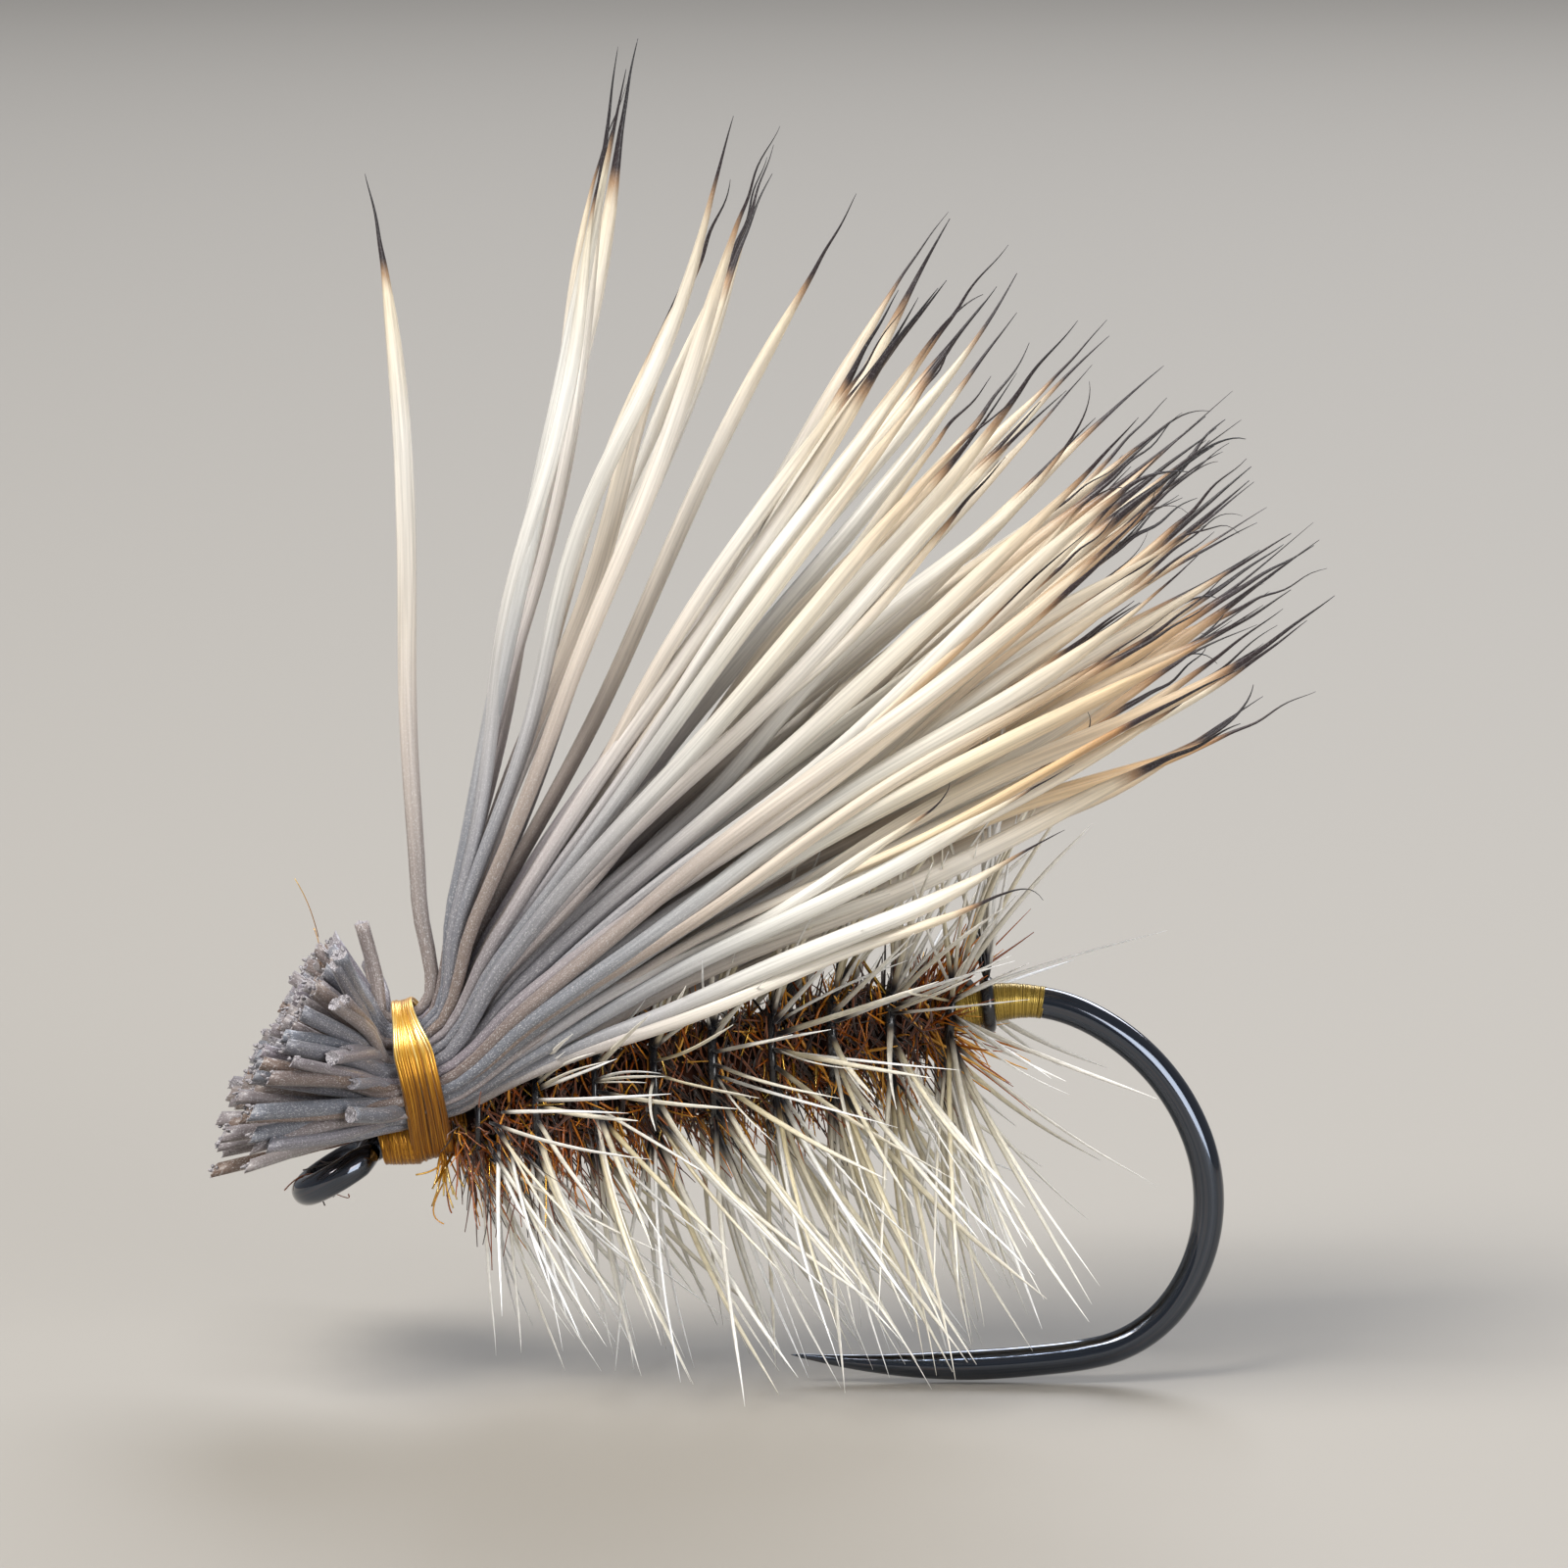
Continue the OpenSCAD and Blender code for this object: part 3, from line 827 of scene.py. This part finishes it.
def make_wing():
    rows = [strands_of(f"wing_row_{k + 1}", 5) for k in range(ROWS)]
    plane = scissor_plane(rows)
    ends = []
    for k, row in enumerate(rows):
        luck = np.random.default_rng(400 + k)
        row = sorted(row, key=lambda hair: hair[0][2][1])
        strands = []
        for i, (knots, radii) in enumerate(row):
            side = 2 * i / (len(row) - 1) - 1 if len(row) > 1 else 0
            leader = row[min(3 * (i // 3) + 1, len(row) - 1)][0]
            # Each hair but the lone upright one has a finer twin
            for twin in range(min(2, len(row))):
                bent, outer, shift = placed(knots, luck, k, side, twin)
                clump = luck.uniform(0.15, 0.62) if len(row) > 3 else 0.0
                tone = np.clip(0.60 - 0.085 * k + luck.normal(0, 0.24), 0, 1)
                if k < LOW_ROWS and side < NEAR_SIDE:
                    tone *= 0.2
                look = dict(luck=luck.uniform(), tone=tone, flat=luck.uniform(0.78, 0.98), rough=0.05,
                            twist=luck.uniform(-3, 3), cut=None if outer or k > 9 else plane)
                butt_r = radii[0] * luck.uniform(0.70, 0.86) * (0.85 if twin else 1)
                if len(bent) == COLLAR_KNOT + 1:
                    points = smooth(bent, 12)
                    w = np.linspace(-0.16, 0, 12)
                    size = np.interp(np.linspace(0, 1, 12), [0.7, 0.85], [butt_r, BROKEN_END])
                else:
                    points, w = hair_line(bent, luck, leader + shift if k >= FAN_ROWS else bent, clump)
                    thick = luck.uniform(0.86, 1.08) * (0.8 if twin else 1)
                    size = hair_radii(w, thick, butt_r, luck.uniform(0, 0.55))
                strands.append(strand(points, size, along=w, **look))
                ends.append((points[0], points[0] - points[1], butt_r))
        sweep(f"elk_hair_row_{k + 1}", strands, 10, [ELK_HAIR, PITH], [f"wing_row_{k + 1}"], 1)
    print("hairs in the wing", len(ends))
    return ends


def make_frayed_pith(ends):
    """The scissors crush each butt, and torn pith stands up round its rim."""
    luck = np.random.default_rng(440)
    strands = []
    for centre, way, radius in ends:
        way = unit(way)
        for _ in range(4):
            out = luck.normal(0, 1, 3)
            out = unit(out - (out @ way) * way)
            root = centre + out * radius * luck.uniform(0.3, 0.95) - way * 0.04 * MM
            tip = root + luck.uniform(0.03, 0.06) * MM * (way + luck.normal(0, 0.55, 3))
            line = np.stack([root, (root + tip) / 2 + luck.normal(0, 0.006, 3) * MM, tip])
            size = np.array([0.028, 0.025, 0.014]) * MM
            strands.append(strand(line, size, flat=0.5, luck=luck.uniform()))
    sweep("crushed_pith_of_the_butts", strands, 4, [PITH])


make_frayed_pith(make_wing())

# %% [markdown]
# ## Dubbing
# Dubbing is loose fur and synthetic fibre, spun on the thread and wound as the body. The mass is dark
# rust brown. Bright rust fibres lie through it, and a few flat gold ones catch the light. The kinds
# differ in dye, gloss and width, so one function makes them all, and a fibre's "luck" picks its shade.

# %% Dubbing materials


def make_fibre(name, shades, settings, wide, strength=0.4, depth_mm=0.003):
    """A fibre material. The shades are those of different fibres, from the darkest on."""
    material, tree, shader = new_material(name, settings)
    luck = add(tree, "Attribute", {"attribute_name": "luck"})
    streaks = grain_noise(tree, wide, 0.4)
    varied = add(tree, "Math", {"operation": "MULTIPLY_ADD", 1: 0.35, 2: -0.17}, {0: streaks})
    place = add(tree, "Math", {"operation": "ADD"}, {0: luck.outputs["Fac"], 1: varied.outputs[0]})
    stops = [((i + 0.5) / len(shades), shade) for i, shade in enumerate(shades)]
    tint = add(tree, "ValToRGB", {"stops": stops}, {0: place.outputs[0]})
    tree.links.new(tint.outputs[0], shader.inputs["Base Color"])
    bump = add(tree, "Bump", {"Strength": strength, "Distance": depth_mm * MM}, {"Height": streaks})
    tree.links.new(bump.outputs[0], shader.inputs["Normal"])
    return material


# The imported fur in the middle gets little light, and has no gloss of its own
PACKED = make_fibre("packed_rust_fur", ["#130904", "#2b1308", "#46210e", "#5e2f13"],
                    {"Roughness": 0.9, "Specular IOR Level": 0.15}, 0.03, 1.0, 0.03)
# Fur fibres are dyed, and each takes the dye differently
FUR = make_fibre("dyed_rust_fur", ["#1f0e07", "#43200d", "#6a3413", "#8f4b19"],
                 {"Roughness": 0.5, "Sheen Weight": 0.3, "Sheen Roughness": 0.5}, 0.01)
# Trilobal nylon is clear and shiny, so it looks brighter than the fur
NYLON = make_fibre("rust_nylon_fibre", ["#7c390d", "#ab5b18", "#cf8228", "#e8ac50"],
                   {"Roughness": 0.25, "Specular IOR Level": 0.6}, 0.02)
# Metallised film slit into thin strips gives small hard glints
FLASH = make_fibre("gold_metallised_film", ["#b98420", "#e0b044", "#f2cf74"],
                   {"Roughness": 0.2, "Metallic": 0.85}, 0.03)

# %% [markdown]
# ## The body
# Under the loose fibres there is a packed core. It is lumpy, because dubbing goes on in thick and thin
# spots. The fibres start in the core, follow the way it was wound, and lift off. Some are picked out
# long with a needle, most of all under the front of the body, where they hang down like legs.
# A bumpy skin alone would have a hard outline, so the loose fibres are real strands as well.

# %% Dubbed body


def make_core():
    luck = np.random.default_rng(52)
    stations, radii = girth_of("dubbing_body")
    s = np.linspace(stations[0], stations[-1], 110)
    turn = np.linspace(0, 2 * np.pi, 49)[:-1]
    grid_s, grid_t = np.meshgrid(s, turn, indexing="ij")
    size = np.interp(s, stations, radii)
    lumps = np.zeros_like(grid_s)
    for _ in range(18):
        long, twist, phase = luck.uniform(1.5, 22), luck.integers(-3, 4), luck.uniform(0, 6.28)
        lumps += np.sin(long * grid_s / MM + twist * grid_t + phase) / (1 + 0.25 * long)
    lumps *= 0.03 * MM * ease(size, size.min(), size.max())[:, None]
    skin = round_wire(grid_s, grid_t, 0.80 * size[:, None] + lumps)
    walls, near_end = tube_faces(*skin.shape[:2])
    mesh = bpy.data.meshes.new("dubbing_core")
    mesh.from_pydata(skin.reshape(-1, 3), [], walls + [near_end])
    store(mesh, "luck", (0.25 + 0.25 * np.sin(9 * grid_s / MM + grid_t) * np.sin(5 * grid_t)).ravel())
    store(mesh, "grain", np.stack([grid_s / MM, 0 * grid_s, 0.6 * grid_t], axis=-1).reshape(-1, 3))
    mesh.polygons.foreach_set("use_smooth", [True] * len(mesh.polygons))
    mesh.materials.append(PACKED)
    put_on(mesh, ["dubbing_body"])


def body_fibres(count, seed, length, out, thick, start=0.0, end=1.0, straight=0.4, back=0.12):
    """Fibres that leave the body. Some hug it, and some fly off straight and glossy."""
    luck = np.random.default_rng(seed)
    stations, radii = girth_of("dubbing_body")
    t = np.linspace(0, 1, 8)
    taper = np.interp(t, [0, 0.6, 1], [1.0, 0.9, 0.3])
    strands = []
    for _ in range(count):
        s = stations[0] + (stations[-1] - stations[0]) * luck.uniform(start, end)
        angle = luck.uniform(0, 2 * np.pi)
        size = luck.uniform(*length) * MM
        body_r = np.interp(s, stations, radii)
        wound = luck.choice([-1, 1])
        width = thick * luck.uniform(0.6, 1.25) / 2 * MM
        if luck.uniform() < straight:
            root = round_wire(s, angle, 0.7 * body_r)
            up = unit(round_wire(s, angle, 1.7 * body_r) - root)
            tangent = wound * np.cross(SHANK_DIR, up)
            rise = np.radians(luck.uniform(18, 62))
            way = np.sin(rise) * up + np.cos(rise) * tangent + luck.normal(back, 0.35) * SHANK_DIR
            line = root + size * (t[:, None] * way + (t**2)[:, None] * luck.normal(0, 0.12, 3))
        else:
            arch = luck.uniform(*out) * MM * np.sin(np.pi * (0.1 + luck.uniform(0.3, 0.7) * t))
            slide = luck.uniform(-0.6, 0.6) * t + luck.normal(0, 0.08) * np.sin(3 * t)
            turned = angle + wound * luck.uniform(0.5, 1) * size * t / (0.6 * MM)
            line = round_wire(s + size * slide, turned, 0.80 * body_r + arch)
        strands.append(strand(line, width * taper, flat=0.7, luck=luck.uniform()))
    return strands


def hanging_fibres(count, seed, length, thick, front, back):
    """Fibres picked out downwards between two stations."""
    luck = np.random.default_rng(seed)
    t = np.linspace(0, 1, 9)[:, None]
    strands = []
    for _ in range(count):
        s = luck.uniform(front, back) * MM
        angle = np.pi + luck.normal(0, 0.7)
        root = round_wire(s, angle, 0.32 * MM)
        out = unit(round_wire(s, angle, 1.3 * MM) - root) + SHANK_DIR * luck.uniform(-0.3, 0.55)
        size = luck.uniform(*length) * MM
        bend = luck.normal(0, 0.09, 3)
        curl = luck.normal(0, 0.018, 3)
        line = root + size * (t * out + t * t * bend + np.sin(5 * t) * curl)
        strands.append(strand(line, thick / 2 * MM * np.linspace(1, 0.4, 9), flat=0.7, luck=luck.uniform()))
    return strands


def make_body():
    make_core()
    brown = body_fibres(1900, 61, (0.35, 0.9), (0.02, 0.20), 0.034, straight=0.25)
    brown += hanging_fibres(60, 62, (0.7, 1.8), 0.03, 0.9, 1.9)
    brown += hanging_fibres(240, 63, (0.6, 1.3), 0.03, 1.5, 7.5)
    sweep("dubbing_fur_fibres", brown, 4, [FUR])
    rust = body_fibres(560, 71, (0.4, 1.05), (0.06, 0.24), 0.038, straight=0.6)
    rust += body_fibres(80, 72, (0.5, 1.1), (0.05, 0.2), 0.036, 0.93, 1.0, 0.9, 0.9)
    rust += hanging_fibres(26, 73, (0.6, 1.6), 0.03, 0.9, 1.8)
    rust += hanging_fibres(130, 74, (0.6, 1.35), 0.032, 1.5, 7.6)
    sweep("dubbing_nylon_fibres", rust, 4, [NYLON])
    flash = body_fibres(170, 81, (0.3, 0.9), (0.12, 0.28), 0.042, straight=0.6)
    flash += hanging_fibres(12, 82, (0.6, 1.4), 0.032, 0.9, 2.2)
    flash += hanging_fibres(34, 83, (0.6, 1.2), 0.034, 2.0, 7.4)
    sweep("dubbing_flash_fibres", flash, 4, [FLASH])


make_body()

# %% [markdown]
# ## Hackle
# The hackle is one badger cock feather. Its quill is black and glossy and winds along the body.
# A barb is black at its root, and turns to cream or ginger a short way out. Barbs of a dry-fly
# feather are stiff, thin and springy, with shiny edges, and each one ends in a fine point. A ramp
# along the barb gives the black root. A second, whiter ramp is mixed in by "tone".

# %% Hackle materials


def make_quill():
    material, tree, shader = new_material("black_feather_quill", {
        "Roughness": 0.2, "Coat Weight": 0.5, "Coat Roughness": 0.1})
    ridges = grain_noise(tree, 0.02, 0.8)
    stops = [(0.3, "#0c0d10"), (0.55, "#17181d"), (0.75, "#2b2a2d")]
    tint = add(tree, "ValToRGB", {"stops": stops}, {0: ridges})
    tree.links.new(tint.outputs[0], shader.inputs["Base Color"])
    bump = add(tree, "Bump", {"Strength": 0.6, "Distance": 0.004 * MM}, {"Height": ridges})
    tree.links.new(bump.outputs[0], shader.inputs["Normal"])
    return material


def make_barb():
    material, tree, shader = new_material("badger_cock_barb", {
        "Roughness": 0.36, "Specular IOR Level": 0.55, "Sheen Weight": 0.2, "Sheen Roughness": 0.3})
    along = add(tree, "Attribute", {"attribute_name": "along"})
    luck = add(tree, "Attribute", {"attribute_name": "luck"})
    tone = add(tree, "Attribute", {"attribute_name": "tone"})
    fine = grain_noise(tree, 0.015, 0.12)
    moved = add(tree, "Math", {"operation": "MULTIPLY_ADD", 1: 0.08, 2: -0.04}, {0: luck.outputs["Fac"]})
    place = add(tree, "Math", {"operation": "ADD"}, {0: along.outputs["Fac"], 1: moved.outputs[0]})
    cream = [(0.0, "#101116"), (0.085, "#15151a"), (0.12, "#6b5a40"), (0.165, "#bbad88"),
             (0.4, "#d2c7a8"), (0.75, "#e0d8c3"), (1.0, "#eeeadf")]
    white = [(0.0, "#14151a"), (0.07, "#23222a"), (0.105, "#9b968c"), (0.155, "#dedcd6"), (0.6, "#eeeeee"),
             (1.0, "#f6f7f8")]
    warm = add(tree, "ValToRGB", {"stops": cream}, {0: place.outputs[0]})
    cool = add(tree, "ValToRGB", {"stops": white}, {0: place.outputs[0]})
    hue = add(tree, "Mix", {"data_type": "RGBA"},
              {0: tone.outputs["Fac"], 6: warm.outputs[0], 7: cool.outputs[0]})
    shade = add(tree, "MapRange", {1: 0.3, 2: 0.7, 3: 0.78, 4: 1.12}, {0: fine})
    tint = add(tree, "Mix", {"data_type": "RGBA", "blend_type": "MULTIPLY", 0: 1.0},
               {6: hue.outputs[2], 7: shade.outputs[0]})
    tree.links.new(tint.outputs[2], shader.inputs["Base Color"])
    bump = add(tree, "Bump", {"Strength": 0.5, "Distance": 0.004 * MM}, {"Height": fine})
    tree.links.new(bump.outputs[0], shader.inputs["Normal"])
    return material


QUILL = make_quill()
BARB = make_barb()

# %% [markdown]
# ## The quill and its barbs
# The quill follows the CAD helix, and thins towards the feather's tip. Each CAD barb becomes a smooth
# flat blade. Between them go finer barbs, because a feather has many more than the CAD model needs.
# Flat cards with a picture of barbs would be lighter, but they would show as cards from the side.

# %% Quill and barbs
TURNS = 9
# From the wire's centre to the quill's, where it lies on the golden band
BAND_REACH = 0.31 * MM
BEHIND_THE_BODY = 0.10 * MM
OVER_THE_FUR = 0.07 * MM
DROOP = 0.42
FLOOR_GAP = 0.12 * MM


def tied_in_turn(line):
    """The quill's first turn lies behind the body, over the golden band, and begins on top."""
    place = on_shank(line[:8])
    angles = np.unwrap(np.arctan2(place[:, 1], place[:, 2]))
    back = -np.sign(angles[-1] - angles[0])
    total = (-back * angles[0]) % (2 * np.pi)
    t = np.linspace(1, 0, 90)[:-1]
    reach = np.hypot(*place[0, 1:])
    reach = reach + (BAND_REACH - reach) * ease(t, 0.0, 0.4)
    return round_wire(place[0, 0] + BEHIND_THE_BODY * t, angles[0] + back * total * t, reach)


def make_quill_winding():
    line, radii = strands_of("hackle_stem", 5)[0]
    if line[0] @ SHANK_DIR < line[-1] @ SHANK_DIR:
        line = line[::-1]
    fine = smooth(line, 900)
    # It is pulled tight, but it still rides on top of the fur
    away = fine - wire_line[0]
    away -= (away @ SHANK_DIR)[:, None] * SHANK_DIR
    fine = fine + OVER_THE_FUR * away / np.linalg.norm(away, axis=1, keepdims=True)
    fine = np.vstack([tied_in_turn(fine), fine])
    pieces = [strand(fine, np.linspace(1.6, 0.95, len(fine)) * radii.mean(), flat=0.75)]
    # Where the feather was tied in, a tuft of black stripped barb roots stands up
    luck = np.random.default_rng(77)
    for _ in range(12):
        root = fine[0] + luck.normal(0, 0.018, 3) * MM
        way = 0.62 * SHANK_UP + 0.04 * SHANK_DIR + luck.normal(0, 0.03, 3)
        tip = root + way * luck.uniform(0.5, 1.2) * MM
        line = smooth(np.stack([root, 0.5 * (root + tip) + luck.normal(0, 0.03, 3) * MM, tip]), 6)
        pieces.append(strand(line, 0.020 * MM * np.linspace(1, 0.5, 6), flat=0.6, luck=luck.uniform()))
    sweep("hackle_quill", pieces, 8, [QUILL], ["hackle_stem"])
    return fine[0]


def barb_blade(knots, radius, luck, fine):
    line = smooth(knots, 16)
    t = np.linspace(0, 1, 16)
    way = unit(line[-1] - line[0])
    side = unit(np.cross(way, SHANK_DIR))
    sway = luck.normal(0, 0.035) * MM * np.sin(np.pi * t)
    curve = luck.normal(0, 0.07) * MM * t**3
    line = line + sway[:, None] * side + curve[:, None] * np.cross(side, way)
    shape = radius * np.interp(t, [0, 0.08, 0.5, 0.8, 1.0], [0.8, 1.0, 0.88, 0.64, 0.10])
    tone = np.clip(luck.normal(0.75 if fine else 0.32, 0.28), 0, 1)
    return strand(line, shape, flat=0.5, twist=luck.uniform(-1.5, 1.5), luck=luck.uniform(), tone=tone)


def longer(line, share):
    return line[0] + share * (line - line[0])


def make_hackle():
    tied_in = make_quill_winding()
    for k in range(TURNS):
        luck = np.random.default_rng(700 + k)
        strands = []
        for knots, radii in strands_of(f"hackle_barbs_{k + 1}", 3):
            way = unit(knots[-1] - knots[0])
            front = k == 0 and way @ SHANK_UP < 0.2
            # The front turn sits close behind the collar, so its barbs begin over a longer stretch
            for extra in range(1 + (luck.uniform() < 0.60) + (luck.uniform() < 0.22) + 2 * front):
                # Barbs at the sides droop a little
                line = swing(knots, knots[0], SHANK_DIR, -DROOP * way @ SIDEWAYS)
                if front and extra:
                    line = longer(line, 1.45) - luck.uniform(0.0, 0.75) * MM * SHANK_DIR
                if extra:
                    line = swing(line, wire_line[0], SHANK_DIR, luck.normal(0, 0.10))
                    line = longer(line, luck.uniform(0.70, 0.98))
                # Barbs on one turn point every way along the hook, so neighbours cross
                hinge = np.cross(SHANK_DIR, line[-1] - line[0])
                lean = (0.10 if k < 6 else 0.18) + 0.20 * max(0, way @ SHANK_UP)
                line = swing(line, line[0], hinge, lean + luck.normal(0, 0.20 if extra else 0.13))
                # None goes through the floor
                root, low = line[0][2], line[:, 2].min()
                line = longer(line, min(1.0, (root - FLOOR_GAP) / (root - low + 1e-9)))
                size = radii[0] * (luck.uniform(0.52, 0.76) if extra else luck.uniform(0.8, 1.08))
                strands.append(barb_blade(line, size, luck, extra > 0))
        if k == TURNS - 1:
            # A few barbs are left on the tied-in end, and stand straight up
            for _ in range(6):
                reach = SHANK_UP + 0.22 * SHANK_DIR + luck.normal(0, 0.13, 3)
                line = tied_in + np.linspace(0, 1, 4)[:, None] * reach * luck.uniform(2.6, 4.0) * MM
                strands.append(barb_blade(line, 0.03 * MM, luck, True))
        sweep(f"hackle_turn_{k + 1}", strands, 6, [BARB], [f"hackle_barbs_{k + 1}"])


make_hackle()

# %% [markdown]
# ## Loose ends
# A hand-tied fly has a few: the cut end of the thread under the collar, short filaments beside it,
# and scraps of dubbing caught by the head. A few short strands at each place are enough.

# %% Loose ends


def make_loose_ends():
    luck = np.random.default_rng(90)
    low, high = (np.array(c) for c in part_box("thread_tag"))
    root = np.array([(low[0] + high[0]) / 2, (low[1] + high[1]) / 2, high[2]])
    t = np.linspace(0, 1, 10)[:, None]
    filaments = []
    for _ in range(16):
        reach = np.array([luck.normal(0, 0.10), luck.normal(-0.08, 0.08), -luck.uniform(0.25, 0.62)]) * MM
        bend = luck.normal(0, 0.10, 3) * MM
        start = root + luck.normal(0, 0.03, 3) * MM + np.array([0, 0, 0.06]) * MM
        filaments.append(strand(start + t * reach + t * t * bend, 0.013 * MM, luck=luck.uniform(0.4, 1)))
    sweep("silk_cut_end", filaments, 5, [SILK], ["thread_tag"])


def scraps(name, count, seed, station, up, reach, thick, material, curly=0.16):
    """Stray fibres about one place, given by its station and its height above the shank's middle."""
    luck = np.random.default_rng(seed)
    middle = wire_line[0] + station * MM * SHANK_DIR + up * MM * SHANK_UP
    t = np.linspace(0, 1, 10)[:, None]
    fibres = []
    for _ in range(count):
        root = middle + luck.normal(0, 0.09, 3) * MM
        way = (np.array(reach) + luck.normal(0, 0.22, 3)) * MM
        curl = luck.normal(0, curly, 3) * MM
        line = root + t * way + np.sin(2.6 * t) * curl
        fibres.append(strand(line, thick / 2 * MM, flat=0.7, luck=luck.uniform()))
    sweep(name, fibres, 4, [material])


make_loose_ends()
scraps("stray_fur_over_the_eye", 7, 91, -0.25, 0.25, (-0.75, -0.1, -0.05), 0.02, FUR)
scraps("stray_gold_over_the_eye", 3, 92, -0.20, 0.30, (-0.7, -0.1, 0.0), 0.022, FLASH)
scraps("stray_fur_under_the_eye", 4, 93, -0.75, -0.45, (-0.3, -0.1, -0.2), 0.02, FUR)
scraps("stray_fur_under_the_collar", 9, 94, 0.95, -0.35, (0.15, -0.15, -0.5), 0.022, NYLON)
scraps("stray_filament_on_the_head", 2, 95, -0.20, 2.75, (-0.35, -0.1, 0.5), 0.012, SILK,
       0.05)

# %% [markdown]
# ## Floor and light
# The fly stands on a plain pale surface. A big soft light from above and behind the camera's left gives
# the shape, a second one from behind gives the bright edges of hair and barbs, and a low fill keeps
# the dark body readable. A thin strip light draws a line of gloss along the wire.

# %% Floor and lights


def make_floor():
    mesh = bpy.data.meshes.new("floor")
    corners = [(-1.5, -1.5, 0), (1.5, -1.5, 0), (1.5, 1.5, 0), (-1.5, 1.5, 0)]
    mesh.from_pydata(corners, [], [[0, 1, 2, 3]])
    material, tree, shader = new_material("pale_paper", {"Base Color": linear("#98938b"), "Roughness": 0.7})
    fibres = add(tree, "TexNoise", {"Scale": 900.0, "Detail": 4.0},
                 {"Vector": add(tree, "TexCoord").outputs["Object"]})
    bump = add(tree, "Bump", {"Strength": 0.08, "Distance": 0.05 * MM}, {"Height": fibres.outputs[0]})
    tree.links.new(bump.outputs[0], shader.inputs["Normal"])
    mesh.materials.append(material)
    new_object("floor", mesh)


def add_light(name, place, size, power, shade):
    data = bpy.data.lights.new(name, "AREA")
    data.shape = "RECTANGLE"
    data.size, data.size_y = size
    data.energy = power
    data.color = linear(shade)[:3]
    lamp = new_object(name, data)
    lamp.location = place
    # Every light points at the fly's middle
    away = np.array(place) - np.array([0, 0, 6 * MM])
    lamp.rotation_euler = (float(np.arctan2(np.hypot(away[0], away[1]), away[2])), 0,
                           float(np.arctan2(away[1], away[0])) + np.pi / 2)


def light_the_fly():
    add_light("key", (-0.16, -0.14, 0.30), (0.18, 0.18), 1.50, "#fffaf2")
    add_light("rim", (0.10, 0.30, 0.26), (0.30, 0.16), 1.10, "#f2f6ff")
    add_light("fill", (0.22, -0.30, 0.10), (0.20, 0.20), 0.75, "#ffffff")
    add_light("strip", (-0.05, -0.20, 0.34), (0.30, 0.02), 0.55, "#f4f8ff")
    world = bpy.data.worlds.new("studio")
    world.use_nodes = True
    background = world.node_tree.nodes["Background"].inputs
    background["Color"].default_value = linear("#dfe3ea")
    background["Strength"].default_value = 0.30
    bpy.context.scene.world = world
    bpy.context.scene.view_settings.view_transform = "Standard"


make_floor()
light_the_fly()
